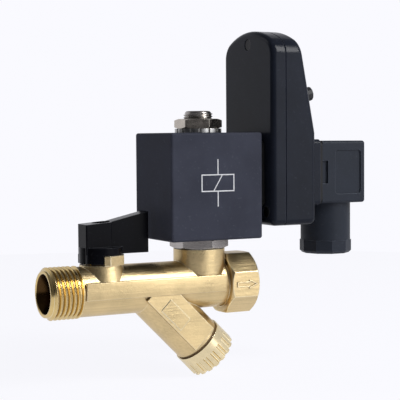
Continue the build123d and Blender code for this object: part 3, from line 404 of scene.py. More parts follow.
@dataclass(frozen=True)
class ForgedMetal:
    """Forged, tumbled brass: cast grain, drawn-out streaks, polish and painted highlight on edges, dirt and painted
    shade in corners.
    """

    name: str
    colour: Colour
    bright: Colour
    grime: Colour
    roughness: float = 0.34
    cloud: float = 9 * MM
    grain: float = 0.42 * MM
    grain_depth: float = 0.060 * MM
    streak: float = 0.8 * MM
    streak_draw: Point3 = (0.06, 1, 1)
    streak_tint: float = 0.8
    streak_rise: float = 1.2
    dent: float = 1.5 * MM
    dent_rise: float = 1.3
    edge: float = 0.45 * MM
    reach: float = 2.5 * MM
    tone: Point2 = (0.65, 1.15)
    shadow: float = 0.78
    rough_share: float = 0.8
    rough_span: Point2 = (0.6, 1.2)
    rough_spread: Point2 = (0.75, 1.3)

    def build(self) -> bpy.types.Material:
        """Build the material.

        Returns:
            The material.
        """
        tree = ShaderTree(self.name)
        tree.constants(Metallic=1.0)
        soft = tree.rounded(self.edge)
        clouds = tree.noise(self.cloud, detail=4.0)
        streaks = tree.noise(self.streak, detail=3.0, stretch=self.streak_draw)
        grain = tree.noise(self.grain, detail=3.0)
        dents = tree.noise(self.dent, detail=2.0)
        tone = tree.mask(tree.sums(clouds, streaks, self.streak_tint), self.tone)
        body = tree.blend(tone, shade(self.colour, self.shadow), self.colour)
        # Painted shade: corners and gaps darken towards a dark brown that is partly real dirt.
        dirty_and_shaded = tree.blend(tree.hollows(self.reach), body, self.grime)
        # Painted highlight: rounded edges are lightened, partly as polish.
        colour = tree.blend(tree.edges(soft), dirty_and_shaded, self.bright)
        rough = tree.roughen(tree.sums(clouds, grain, self.rough_share), self.rough_span, self.roughness,
                             self.rough_spread)
        height = tree.sums(tree.sums(grain, dents, self.dent_rise), streaks, self.streak_rise)
        return tree.wire(colour, rough, tree.bump(height, self.grain_depth, soft))


class LatheAxis(Enum):
    """Lines that turned pieces were spun about, as the turn that lays each along X."""

    PIPE = (0.0, 0.0, 0.0)
    BRANCH = (0.0, -45.0, 0.0)
    COIL = (0.0, 90.0, 0.0)


@dataclass(frozen=True)
class TurnedMetal:
    """Machined metal with fine rings left by the lathe; tarnished oxide and painted shade in corners and down the bore
    where one is given.
    """

    name: str
    colour: Colour
    bright: Colour
    axis: LatheAxis
    roughness: float = 0.2
    ring: float = 0.12 * MM
    ring_draw: Point3 = (1, 0.01, 0.01)
    ring_depth: float = 0.004 * MM
    stain: float = 5 * MM
    edge: float = 0.18 * MM
    reach: float = 1.2 * MM
    tarnish: Colour = (0.16, 0.085, 0.03)
    bore: float = 0.0
    bore_edge: Point2 = (0.25 * MM, 0.1 * MM)
    bore_shadow: float = 0.4
    tone: Point2 = (0.35, 0.7)
    shadow: float = 0.85
    rough_share: float = 0.5
    rough_span: Point2 = (0.4, 1.1)
    rough_spread: Point2 = (0.75, 1.4)

    def build(self) -> bpy.types.Material:
        """Build the material.

        Returns:
            The material.
        """
        tree = ShaderTree(self.name)
        tree.constants(Metallic=1.0)
        soft = tree.rounded(self.edge)
        rings = tree.noise(self.ring, detail=2.0, stretch=self.ring_draw, turn=self.axis.value)
        stains = tree.noise(self.stain, detail=4.0)
        body = tree.blend(tree.mask(stains, self.tone), shade(self.colour, self.shadow), self.colour)
        # Painted shade: corners and gaps darken towards the tarnished colour, partly real oxide.
        dirty_and_shaded = tree.blend(tree.hollows(self.reach), body, self.tarnish)
        # Painted highlight: rounded edges are lightened, partly as polish.
        colour = tree.blend(tree.edges(soft), dirty_and_shaded, self.bright)
        # Painted shade: the bore darkens inside its mouth, partly as oxide.
        if self.bore:
            outer, inner = self.bore_edge
            inside = tree.mask(tree.off_axis(), (self.bore + outer, self.bore + inner))
            colour = tree.blend(inside, colour, shade(self.tarnish, self.bore_shadow))
        rough = tree.roughen(tree.sums(rings, stains, self.rough_share), self.rough_span, self.roughness,
                             self.rough_spread)
        return tree.wire(colour, rough, tree.bump(rings, self.ring_depth, soft))


@dataclass(frozen=True)
class StampedMetal:
    """Plated or rolled metal: faint cloudiness, tiny scratches, and edges lightened as polish and painted highlight.
    """

    name: str
    colour: Colour
    bright: Colour
    roughness: float = 0.28
    cloud: float = 3 * MM
    scratch: float = 0.15 * MM
    scratch_draw: Point3 = (1, 0.15, 1)
    scratch_turn: Point3 = (0, 0, 25)
    depth: float = 0.003 * MM
    edge: float = 0.15 * MM
    tone: Point2 = (0.35, 0.68)
    shadow: float = 0.8
    rough_share: float = 0.7
    rough_span: Point2 = (0.5, 1.2)
    rough_spread: Point2 = (0.7, 1.5)

    def build(self) -> bpy.types.Material:
        """Build the material.

        Returns:
            The material.
        """
        tree = ShaderTree(self.name)
        tree.constants(Metallic=1.0)
        soft = tree.rounded(self.edge)
        clouds = tree.noise(self.cloud, detail=5.0)
        scratches = tree.noise(self.scratch, detail=2.0, stretch=self.scratch_draw, turn=self.scratch_turn)
        body = tree.blend(tree.mask(clouds, self.tone), shade(self.colour, self.shadow), self.colour)
        # Painted highlight: rounded edges are lightened, partly as polish.
        colour = tree.blend(tree.edges(soft), body, self.bright)
        rough = tree.roughen(tree.sums(clouds, scratches, self.rough_share), self.rough_span, self.roughness,
                             self.rough_spread)
        return tree.wire(colour, rough, tree.bump(scratches, self.depth, soft))


@dataclass(frozen=True)
class MouldedPlastic:
    """Moulded or cast plastic with a spark-eroded grain, faint clouds, dust, and edges lightened as worn rubbing and
    painted highlight.
    """

    name: str
    colour: Colour
    rubbed: Colour
    roughness: float = 0.45
    cloud: float = 14 * MM
    grain: float = 0.16 * MM
    grain_depth: float = 0.006 * MM
    speck: float = 1.1 * MM
    speck_span: Point2 = (0.62, 0.74)
    dust: float = 0.22
    dust_tint: float = 0.9
    wear: float = 0.7
    edge: float = 0.3 * MM
    gloss: float = 0.5
    tone: Point2 = (0.35, 0.68)
    shadow: float = 0.8
    rough_share: float = 0.5
    rough_span: Point2 = (0.45, 1.05)
    rough_spread: Point2 = (0.85, 1.15)

    def build(self) -> bpy.types.Material:
        """Build the material.

        Returns:
            The material.
        """
        tree = ShaderTree(self.name)
        tree.constants(Specular_IOR_Level=self.gloss)
        soft = tree.rounded(self.edge)
        clouds = tree.noise(self.cloud, detail=4.0)
        grain = tree.noise(self.grain, detail=2.0)
        dust = tree.remap(tree.noise(self.speck, detail=6.0), self.speck_span, (0.0, self.dust))
        body = tree.blend(tree.mask(clouds, self.tone), shade(self.colour, self.shadow), self.colour)
        dusty = tree.blend(dust, body, shade(self.rubbed, self.dust_tint))
        # Painted highlight: edges are lightened, partly as worn rubbing.
        colour = tree.blend(tree.remap(tree.edges(soft), (0.0, 1.0), (0.0, self.wear)), dusty, self.rubbed)
        rough = tree.roughen(tree.sums(clouds, grain, self.rough_share), self.rough_span, self.roughness,
                             self.rough_spread)
        return tree.wire(colour, rough, tree.bump(grain, self.grain_depth, soft))


@dataclass(frozen=True)
class Elastomer:
    """Rubber or soft seal: dull, slightly mottled and finely grained."""

    name: str
    colour: Colour
    roughness: float = 0.7
    mottle: float = 2.2 * MM
    grain: float = 0.3 * MM
    grain_depth: float = 0.012 * MM
    edge: float = 0.15 * MM
    gloss: float = 0.35
    tone: Point2 = (0.35, 0.7)
    bloom: float = 1.6
    rough_span: Point2 = (0.3, 0.7)
    rough_spread: Point2 = (0.9, 1.15)

    def build(self) -> bpy.types.Material:
        """Build the material.

        Returns:
            The material.
        """
        tree = ShaderTree(self.name)
        tree.constants(Specular_IOR_Level=self.gloss)
        mottle = tree.noise(self.mottle, detail=4.0)
        grain = tree.noise(self.grain, detail=2.0)
        colour = tree.blend(tree.mask(mottle, self.tone), self.colour, shade(self.colour, self.bloom))
        rough = tree.roughen(mottle, self.rough_span, self.roughness, self.rough_spread)
        return tree.wire(colour, rough, tree.bump(grain, self.grain_depth, tree.rounded(self.edge)))


@dataclass(frozen=True)
class WoundWire:
    """Layers of fine enamelled wire wound round the coil's line."""

    name: str
    colour: Colour
    gauge: float = 0.25 * MM
    depth: float = 0.08 * MM
    wander: float = 0.4
    shadow: float = 0.4
    roughness: Point2 = (0.5, 0.25)

    def build(self) -> bpy.types.Material:
        """Build the material.

        Returns:
            The material.
        """
        tree = ShaderTree(self.name)
        tree.constants(Metallic=1.0)
        wave = tree.node("ShaderNodeTexWave", wave_type="BANDS", bands_direction="Z")
        wave.inputs["Scale"].default_value = math.pi / (10 * self.gauge)
        wave.inputs["Distortion"].default_value = self.wander
        tree.join(tree.place, wave.inputs["Vector"])
        turns = wave.outputs["Fac"]
        colour = tree.blend(turns, shade(self.colour, self.shadow), self.colour)
        return tree.wire(colour, tree.remap(turns, (0.0, 1.0), self.roughness), tree.bump(turns, self.depth))


@dataclass(frozen=True)
class TrackedBoard:
    """Green circuit board with faint copper tracks under its lacquer."""

    name: str
    colour: Colour
    track: float = 1.3 * MM
    track_span: Point2 = (0.09, 0.05)
    track_tint: float = 1.7
    weave: float = 0.5 * MM
    weave_span: Point2 = (0.3, 0.7)
    depth: float = 0.03 * MM
    shadow: float = 0.8
    roughness: Point2 = (0.25, 0.4)

    def build(self) -> bpy.types.Material:
        """Build the material.

        Returns:
            The material.
        """
        tree = ShaderTree(self.name)
        cells = tree.node("ShaderNodeTexVoronoi", distance="MANHATTAN", feature="DISTANCE_TO_EDGE")
        cells.inputs["Scale"].default_value = 1.0 / (3 * self.track)
        tree.join(tree.place, cells.inputs["Vector"])
        lines = tree.mask(cells.outputs[0], self.track_span)
        weave = tree.noise(self.weave, detail=2.0)
        board = tree.blend(weave, shade(self.colour, self.shadow), self.colour)
        colour = tree.blend(lines, board, shade(self.colour, self.track_tint))
        return tree.wire(colour, tree.remap(weave, self.weave_span, self.roughness), tree.bump(lines, self.depth))


@dataclass(frozen=True)
class ClearLens:
    """Tinted clear plastic of a small lamp."""

    name: str
    colour: Colour
    swirl: float = 0.8 * MM
    swirl_span: Point2 = (0.3, 0.7)
    depth: float = 0.01 * MM
    shadow: float = 0.7
    roughness: Point2 = (0.12, 0.25)
    clearness: float = 0.35
    ior: float = 1.49
    polish: float = 0.6

    def build(self) -> bpy.types.Material:
        """Build the material.

        Returns:
            The material.
        """
        tree = ShaderTree(self.name)
        tree.constants(Transmission_Weight=self.clearness, IOR=self.ior, Coat_Weight=self.polish)
        swirl = tree.noise(self.swirl, detail=3.0)
        colour = tree.blend(swirl, shade(self.colour, self.shadow), self.colour)
        return tree.wire(colour, tree.remap(swirl, self.swirl_span, self.roughness), tree.bump(swirl, self.depth))


@dataclass(frozen=True)
class PadPrint:
    """Thin printed ink with a slightly uneven cover."""

    name: str
    colour: Colour
    patch: float = 0.25 * MM
    patch_span: Point2 = (0.3, 0.7)
    depth: float = 0.004 * MM
    tone: Point2 = (0.3, 0.6)
    shadow: float = 0.8
    roughness: Point2 = (0.45, 0.65)

    def build(self) -> bpy.types.Material:
        """Build the material.

        Returns:
            The material.
        """
        tree = ShaderTree(self.name)
        cover = tree.noise(self.patch, detail=3.0)
        colour = tree.blend(tree.mask(cover, self.tone), shade(self.colour, self.shadow), self.colour)
        return tree.wire(colour, tree.remap(cover, self.patch_span, self.roughness), tree.bump(cover, self.depth))


BRASS = (0.755, 0.585, 0.315)
# Pale brass for rounded edges: partly polish, partly painted highlight.
BRASS_POLISH_AND_HIGHLIGHT = (0.98, 0.88, 0.62)
# Dark brown for brass corners: partly dirt, partly painted shade.
BRASS_GRIME_AND_SHADE = (0.20, 0.115, 0.04)
BORE = 7.75 * MM

FINISHES: Dict[str, Finish] = {
    "forged_brass": ForgedMetal("forged_brass_grain", BRASS, BRASS_POLISH_AND_HIGHLIGHT, BRASS_GRIME_AND_SHADE),
    "machined_brass": TurnedMetal("machined_brass_pipe", (0.78, 0.58, 0.25), BRASS_POLISH_AND_HIGHLIGHT, LatheAxis.PIPE, bore=BORE),
    "chromed_brass": StampedMetal("chromed_ball", (0.62, 0.62, 0.63), (0.85, 0.85, 0.86), 0.08),
    "white_seat": Elastomer("white_seal_ring", (0.74, 0.73, 0.70), 0.45),
    "stainless_steel": TurnedMetal("stainless_turned", (0.46, 0.43, 0.41), (0.80, 0.78, 0.74), LatheAxis.COIL, 0.24,
                                   tarnish=(0.10, 0.09, 0.08)),
    "plated_steel": StampedMetal("zinc_plate", (0.55, 0.55, 0.54), (0.85, 0.84, 0.80)),
    "nickel_steel": StampedMetal("nickel_plate", (0.66, 0.60, 0.53), (0.95, 0.90, 0.78), 0.24),
    "contact_metal": StampedMetal("tinned_contact", (0.66, 0.62, 0.52), (0.85, 0.82, 0.74), 0.3),
    "copper": WoundWire("enamelled_copper", (0.62, 0.26, 0.12)),
    "black_rubber": Elastomer("black_seal_rubber", (0.010, 0.010, 0.011)),
    "coil_resin": MouldedPlastic("coil_resin_grain", (0.054, 0.058, 0.080), (0.170, 0.180, 0.220), 0.48, gloss=0.03),
    "timer_plastic": MouldedPlastic("timer_case_satin", (0.0140, 0.0170, 0.0265), (0.060, 0.066, 0.088), 0.21,
                                    grain_depth=0.003 * MM, gloss=0.10),
    "plug_plastic": MouldedPlastic("plug_blue_grey", (0.022, 0.027, 0.039), (0.080, 0.092, 0.118), 0.48, gloss=0.16),
    "lever_plastic": MouldedPlastic("lever_gloss_black", (0.0032, 0.0034, 0.0055), (0.050, 0.052, 0.062), 0.20,
                                    grain_depth=0.002 * MM, gloss=0.06),
    "knob_plastic": MouldedPlastic("knob_charcoal", (0.022, 0.023, 0.027), (0.08, 0.08, 0.09), 0.5, gloss=0.3),
    "white_plastic": MouldedPlastic("bobbin_white", (0.72, 0.71, 0.67), (0.80, 0.79, 0.76), 0.4),
    "component_blue": MouldedPlastic("component_blue_case", (0.045, 0.11, 0.36), (0.12, 0.22, 0.50), 0.4),
    "circuit_board": TrackedBoard("board_green_lacquer", (0.03, 0.18, 0.07)),
    "red_lens": ClearLens("lamp_red_lens", (0.60, 0.03, 0.02)),
    "red_button": MouldedPlastic("button_red", (0.45, 0.03, 0.025), (0.60, 0.10, 0.08), 0.38),
}
NODE_FINISHES: Dict[str, Finish] = {
    "strainer_cap": TurnedMetal("machined_brass_branch", (0.88, 0.74, 0.46), (1.0, 0.92, 0.70), LatheAxis.BRANCH, 0.22,
                                reach=0.7 * MM),
    "cap_gasket": Elastomer("brown_fibre_gasket", (0.115, 0.070, 0.028), 0.6),
    "case_screws": StampedMetal("blackened_screw", (0.030, 0.030, 0.032), (0.12, 0.12, 0.12), 0.35),
}
INK_FINISH = PadPrint("white_pad_print", (0.76, 0.77, 0.80))


# ----------------------------------------------------------------------------------------
# Mesh building
# ----------------------------------------------------------------------------------------


class Form:
    """A mesh under construction on a local axis, which ends as one piece on a body."""

    def __init__(self) -> None:
        """Start an empty mesh."""
        self.bm = bmesh.new()

    def _chain(self, points: Iterable[Point3], closed: bool) -> List[bmesh.types.BMVert]:
        """Add vertices joined in order by edges.

        Args:
            points: the vertices' places.
            closed: whether an edge joins the last to the first.

        Returns:
            The vertices.
        """
        made = [self.bm.verts.new(p) for p in points]
        pairs = zip(made, made[1:] + made[:1]) if closed else zip(made, made[1:])
        for first, second in pairs:
            self.bm.edges.new((first, second))
        return made

    def _face(self, points: Iterable[Point2]) -> bmesh.types.BMFace:
        """Add a flat face at height 0."""
        return self.bm.faces.new([self.bm.verts.new((x, y, 0.0)) for x, y in points])

    def _spin(self, geometry: Sequence[MeshPart], turn: float, steps: int, rise: float = 0.0,
              merge: bool = False) -> None:
        """Spin geometry about the local Z axis.

        Args:
            geometry: what is spun.
            turn: the whole angle in radians.
            steps: how many steps it takes.
            rise: climb of each step.
            merge: whether the end meets the start.
        """
        bmesh.ops.spin(self.bm, geom=geometry, cent=(0, 0, 0), axis=(0, 0, 1), dvec=(0, 0, rise), angle=turn,
                       steps=steps, use_merge=merge, use_duplicate=False)

    def _raise(self, faces: Sequence[bmesh.types.BMFace], height: float) -> None:
        """Extrude flat faces upwards into a closed strip or plate.

        Args:
            faces: the faces.
            height: how far they go up.
        """
        made = bmesh.ops.extrude_face_region(self.bm, geom=faces)
        bmesh.ops.translate(self.bm, vec=(0, 0, height),
                            verts=[g for g in made["geom"] if isinstance(g, bmesh.types.BMVert)])

    def lathe(self, profile: Sequence[Point2], steps: int = 72, closed: bool = False) -> "Form":
        """Spin a profile of (radius, height) points about the local Z axis.

        Args:
            profile: the points, in order.
            steps: faces round the turn.
            closed: whether the profile closes on itself, as a tube's does.

        Returns:
            This form.
        """
        verts = self._chain([(r, 0.0, z) for r, z in profile], closed)
        edges = list(dict.fromkeys(e for v in verts for e in v.link_edges))
        self._spin(verts + edges, 2 * math.pi, steps, merge=True)
        bmesh.ops.remove_doubles(self.bm, verts=self.bm.verts, dist=MERGE)
        return self

    def ridge(self, section: Sequence[Point2], pitch: float, turns: float, steps: int = 48) -> "Form":
        """Wind a closed section of (radius, height) points into a helical ridge.

        Args:
            section: the points, in order.
            pitch: climb of one turn.
            turns: how many turns there are.
            steps: faces along one turn.

        Returns:
            This form.
        """
        face = self.bm.faces.new([self.bm.verts.new((r, 0.0, z)) for r, z in section])
        count = round(turns * steps)
        self._spin([face], 2 * math.pi * count / steps, count, rise=pitch / steps)
        return self

    def within(self, radius_at: Callable[[float], float]) -> "Form":
        """Draw every vertex in to the largest radius allowed at its height.

        Args:
            radius_at: gives that radius for a height.

        Returns:
            This form.
        """
        for vert in self.bm.verts:
            radius = math.hypot(vert.co.x, vert.co.y)
            limit = radius_at(vert.co.z)
            if radius > limit > 0:
                vert.co.x *= limit / radius
                vert.co.y *= limit / radius
        return self

    def outline(self, points: Sequence[Point2], width: float, height: float) -> "Form":
        """Raise a strip along the inside of a flat outline.

        Args:
            points: the outline's corners.
            width: the strip's width.
            height: the strip's height.

        Returns:
            This form.
        """
        face = self._face(points)
        face.normal_update()
        bmesh.ops.inset_region(self.bm, faces=[face], thickness=width, use_even_offset=True, use_boundary=True)
        bmesh.ops.delete(self.bm, geom=[face], context="FACES_ONLY")
        self._raise(list(self.bm.faces), height)
        return self

    def plate(self, points: Sequence[Point2], height: float) -> "Form":
        """Raise a flat outline into a plate.

        Args:
            points: the outline's corners.
            height: the plate's height.

        Returns:
            This form.
        """
        self._raise([self._face(points)], height)
        return self

    def pad(self, outer: Sequence[Point2], inner: Sequence[Point2], depth: float, relief: float) -> "Form":
        """Build a plate, its top at height 0, with a raised panel on it.

        Args:
            outer: the plate's corners.
            inner: the panel's corners, in the same order.
            depth: how far the plate reaches down.
            relief: how far the panel stands up.

        Returns:
            This form.
        """
        rings = [[self.bm.verts.new((x, y, height)) for x, y in points]
                 for points, height in ((outer, -depth), (outer, 0.0), (inner, 0.0), (inner, relief))]
        for low, high in zip(rings, rings[1:]):
            for i in range(len(low)):
                j = (i + 1) % len(low)
                self.bm.faces.new((low[i], low[j], high[j], high[i]))
        self.bm.faces.new(rings[0][::-1])
        self.bm.faces.new(rings[-1])
        return self

    def soften(self, width: float, angle: float = 35.0, segments: int = 2) -> "Form":
        """Bevel every sharp edge.

        Args:
            width: the bevel's width.
            angle: angle in degrees above which an edge is sharp.
            segments: faces across the bevel.

        Returns:
            This form.
        """
        sharp = [e for e in self.bm.edges if len(e.link_faces) == 2 and e.calc_face_angle(0.0) > math.radians(angle)]
        bmesh.ops.bevel(self.bm, geom=sharp, offset=width, offset_type="OFFSET", segments=segments, profile=0.5,
                        affect="EDGES", clamp_overlap=True, material=-1)
        return self

    def join(self, other: "Form") -> None:
        """Take in another form's mesh, and use that form up.

        Args:
            other: the form.
        """
        mesh = bpy.data.meshes.new("joined")
        other.bm.to_mesh(mesh)
        other.bm.free()
        self.take(mesh)

    def take(self, mesh: bpy.types.Mesh) -> None:
        """Take in a loose mesh, and remove it."""
        self.bm.from_mesh(mesh)
        bpy.data.meshes.remove(mesh)

    def place(self, seat: Matrix) -> "Form":
        """Move the mesh from its local axes to its seat in the frame."""
        bmesh.ops.transform(self.bm, matrix=seat, verts=self.bm.verts)
        return self

    def piece(self, name: str, slot: str, material: bpy.types.Material, replaced: Sequence[str] = (),
              sharp: float = 38.0) -> None:
        """Make the finished object, which rides on the valve's own body.

        Args:
            name: the piece's name.
            slot: the record's material slot; not used.
            material: its finish.
            replaced: CAD nodes that it stands for.
            sharp: angle in degrees above which an edge stays sharp.
        """
        bmesh.ops.recalc_face_normals(self.bm, faces=self.bm.faces)
        mesh = bpy.data.meshes.new(name)
        self.bm.to_mesh(mesh)
        self.bm.free()
        mesh.shade_smooth()
        mesh.set_sharp_from_angle(angle=math.radians(sharp))
        mesh.materials.append(material)
        made = bpy.data.objects.new(name, mesh)
        bpy.context.scene.collection.objects.link(made)
        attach(made, VALVE)
        if replaced:
            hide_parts(*replaced)
        LOG.info("%s: %d faces on %s", name, len(mesh.polygons), VALVE)


def seat_on(origin: Vector, across: Vector, normal: Vector) -> Matrix:
    """Make the matrix of a seat.

    Args:
        origin: where local 0 goes.
        across: the direction that local X takes.
        normal: the direction that local Z takes.

    Returns:
        The matrix.
    """
    side = normal.cross(across)
    rows = Matrix((across, side, normal)).transposed().to_4x4()
    return Matrix.Translation(origin) @ rows


def rectangle(left: float, right: float, low: float, high: float) -> List[Point2]:
    """Return a rectangle's corners, anticlockwise from its lower left."""
    return [(left, low), (right, low), (right, high), (left, high)]


# ----------------------------------------------------------------------------------------
# Sub-assemblies
# ----------------------------------------------------------------------------------------


class Finisher:
    """Builds each finish once and hands it out by its material slot."""

    def __init__(self) -> None:
        """Start with no material built."""
        self.built: Dict[str, bpy.types.Material] = {}

    def of(self, finish: Finish) -> bpy.types.Material:
        """Build a finish's material the first time that it is asked for.

        Args:
            finish: the finish.

        Returns:
            Its material.
        """
        if finish.name not in self.built:
            self.built[finish.name] = finish.build()
        return self.built[finish.name]

    def slot(self, slot: str) -> bpy.types.Material:
        """Return the material of one of the record's slots."""
        return self.of(FINISHES[slot])

    def dress(self, node: bpy.types.Object, finish: Finish) -> None:
        """Give a CAD node a finish in all its material slots.

        Args:
            node: the node's object.
            finish: the finish.
        """
        for index in range(max(1, len(node.data.materials))):
            if index < len(node.data.materials):
                node.data.materials[index] = self.of(finish)
            else:
                node.data.materials.append(self.of(finish))


@dataclass
class ThreadedInlet:
    """Male pipe end: a lathe-turned nipple with a right-hand pipe thread."""

    finisher: Finisher
    bore_radius: float = BORE
    root_depth: float = 1.25 * MM
    pitch: float = 1.814 * MM
    thread_length: float = 13.4 * MM
    shank_radius: float = 8.9 * MM
    mouth: float = 0.45 * MM
    end_chamfer: float = 0.25 * MM
    relief_back: float = 0.9 * MM
    relief_front: float = 0.35 * MM
    collar_drop: float = 0.05 * MM
    foot_sunk: float = 0.12 * MM
    crest_round: float = 0.1 * MM
    run_out: float = 0.5 * MM
    fade_from: float = 0.2 * MM
    fade_over: float = 0.3 * MM
    lead: float = 0.9 * MM

    def build(self) -> None:
        """Build the nipple with its thread."""
        low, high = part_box("inlet_nipple")
        major = high.z
        length = high.x - low.x
        root = major - self.root_depth
        collar = major - self.collar_drop
        seat = seat_on(Vector((low.x, 0, 0)), Vector((0, 1, 0)), Vector((1, 0, 0)))
        core = Form().lathe([
            (self.bore_radius, self.mouth), (self.bore_radius + self.mouth, 0.0), (root - self.end_chamfer, 0.0),
            (root, self.end_chamfer), (root, self.thread_length - self.relief_back),
            (collar, self.thread_length - self.relief_front), (collar, self.thread_length),
            (self.shank_radius, self.thread_length), (self.shank_radius, length), (self.bore_radius, length)],
            steps=96, closed=True)
        foot, shoulder = root - self.foot_sunk, major - self.crest_round
        section = ((foot, 0.04), (shoulder, 0.40), (major, 0.45), (major, 0.55), (shoulder, 0.60), (foot, 0.98))
        turns = (self.thread_length - self.run_out) / self.pitch - 1.0
        core.ridge([(radius, share * self.pitch + self.end_chamfer) for radius, share in section], self.pitch, turns)
        slope = (self.root_depth + self.fade_over) / self.lead
        core.within(lambda z: root - self.fade_from + max(0.0, z) * slope)
        core.place(seat).piece("inlet_thread_nipple", "machined_brass", self.finisher.slot("machined_brass"),
                               ["inlet_nipple"], sharp=50.0)


@dataclass
class OutletEnd:
    """Octagonal female end: its inside thread and the forged flow arrow."""

    finisher: Finisher
    socket_radius: float = 10.48 * MM
    socket_depth: float = 10.6 * MM
    thread_height: float = 1.0 * MM
    thread_sunk: float = 0.1 * MM
    pitch: float = 1.814 * MM
    arrow_from_end: float = 1.0 * MM
    arrow_length: float = 9.9 * MM
    head_length: float = 4.2 * MM
    head_width: float = 3.9 * MM
    shaft_width: float = 2.2 * MM
    stroke: float = 0.45 * MM
    relief: float = 0.42 * MM
    relief_soft: float = 0.09 * MM

    def build(self) -> None:
        """Build the thread and the arrow."""
        low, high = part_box("valve_body")
        self.thread(high.x)
        self.arrow(high.x, low.y)

    def thread(self, end: float) -> None:
        """Build the inside thread.

        Args:
            end: where along X the outlet's face stands.
        """
        crest = self.socket_radius - self.thread_height
        wall = self.socket_radius + self.thread_sunk
        section = ((wall, 0.05), (crest, 0.42), (crest, 0.58), (wall, 0.95))
        form = Form().ridge([(radius, share * self.pitch) for radius, share in section], self.pitch,
                            self.socket_depth / self.pitch - 1.0)
        form.place(seat_on(Vector((end, 0, 0)), Vector((0, 1, 0)), Vector((-1, 0, 0))))
        finish = TurnedMetal("machined_brass_socket", (0.80, 0.60, 0.27), BRASS_POLISH_AND_HIGHLIGHT, LatheAxis.PIPE)
        form.piece("outlet_inside_thread", "forged_brass", self.finisher.of(finish), sharp=50.0)

    def arrow(self, end: float, flank: float) -> None:
        """Build the flow arrow's raised outline.

        Args:
            end: where along X the outlet's face stands.
            flank: where along Y the octagon's front flat stands.
        """
        half_head, half_shaft = self.head_width / 2, self.shaft_width / 2
        neck = self.arrow_length - self.head_length
        form = Form().outline([(0, -half_shaft), (neck, -half_shaft), (neck, -half_head), (self.arrow_length, 0),
                               (neck, half_head), (neck, half_shaft), (0, half_shaft)], self.stroke, self.relief)
        tail = Vector((end - self.arrow_from_end - self.arrow_length, flank, 0))
        form.soften(self.relief_soft, 50.0).place(seat_on(tail, Vector((1, 0, 0)), Vector((0, -1, 0))))
        form.piece("flow_arrow_relief", "forged_brass", self.finisher.slot("forged_brass"), sharp=60.0)


@dataclass
class ForgedFlanks:
    """Raised bands along the pipe and pads on the strainer branch, as the forging die leaves them."""

    finisher: Finisher
    band_low: float = -2.6 * MM
    band_high: float = 4.4 * MM
    band_start: float = 0.6 * MM
    band_end: float = 14.6 * MM
    band_face: float = 10.72 * MM
    band_foot: float = 9.6 * MM
    pad_width: float = 11.7 * MM
    pad_start: float = 0.2 * MM
    pad_end: float = 30.6 * MM
    pad_face: float = 10.42 * MM
    panel_low: float = -4.6 * MM
    panel_high: float = 1.5 * MM
    panel_start: float = 7.5 * MM
    panel_end: float = 19.5 * MM
    relief: float = 0.28 * MM
    sunk: float = 2.4 * MM
    band_soft: float = 0.35 * MM
    pad_soft: float = 0.16 * MM

    def build(self, joints: Sequence[dict]) -> None:
        """Build both sides' bands and pads.

        Args:
            joints: the frame's joints, whose cap hinge runs down the branch's line.
        """
        low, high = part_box("valve_body")
        hinge = next(j for j in joints if j["name"] == "cap_unscrew")
        down, root = Vector(hinge["axis"]).normalized(), Vector(hinge["pos_m"])
        bands, pads = Form(), Form()
        for side in (-1, 1):
            normal = Vector((0, side, 0))
            bands.join(self.band(low.x + self.band_start, high.x - self.band_end, normal))
            pads.join(self.branch_pad(root, down, normal))
        for name, form in (("forged_side_bands", bands), ("forged_branch_pads", pads)):
            form.piece(name, "forged_brass", self.finisher.slot("forged_brass"), sharp=60.0)

    def band(self, start: float, end: float, normal: Vector) -> Form:
        """Build one band along the pipe.

        Args:
            start: where along X it starts.
            end: where along X it ends.
            normal: the side that it faces.

        Returns:
            The band's form.
        """
        across = Vector((-normal.y, 0, 0))
        corners = [(x * across.x, z) for x, z in rectangle(start, end, self.band_low, self.band_high)]
        form = Form().plate(corners, self.band_face - self.band_foot).soften(self.band_soft, 35.0, 3)
        return form.place(seat_on(normal * self.band_foot, across, normal))

    def branch_pad(self, root: Vector, down: Vector, normal: Vector) -> Form:
        """Build one pad with its blank panel on the branch.

        Args:
            root: where the branch's line meets the pipe's.
            down: the branch's direction.
            normal: the side that the pad faces.

        Returns:
            The pad's form.
        """
        up = -1.0 if normal.cross(down).z < 0 else 1.0
        low, high = sorted((self.panel_low * up, self.panel_high * up))
        outer = rectangle(self.pad_start, self.pad_end, -self.pad_width / 2, self.pad_width / 2)
        inner = rectangle(self.panel_start, self.panel_end, low, high)
        form = Form().pad(outer, inner, self.sunk, self.relief).soften(self.pad_soft)
        return form.place(seat_on(root + normal * self.pad_face, down, normal))


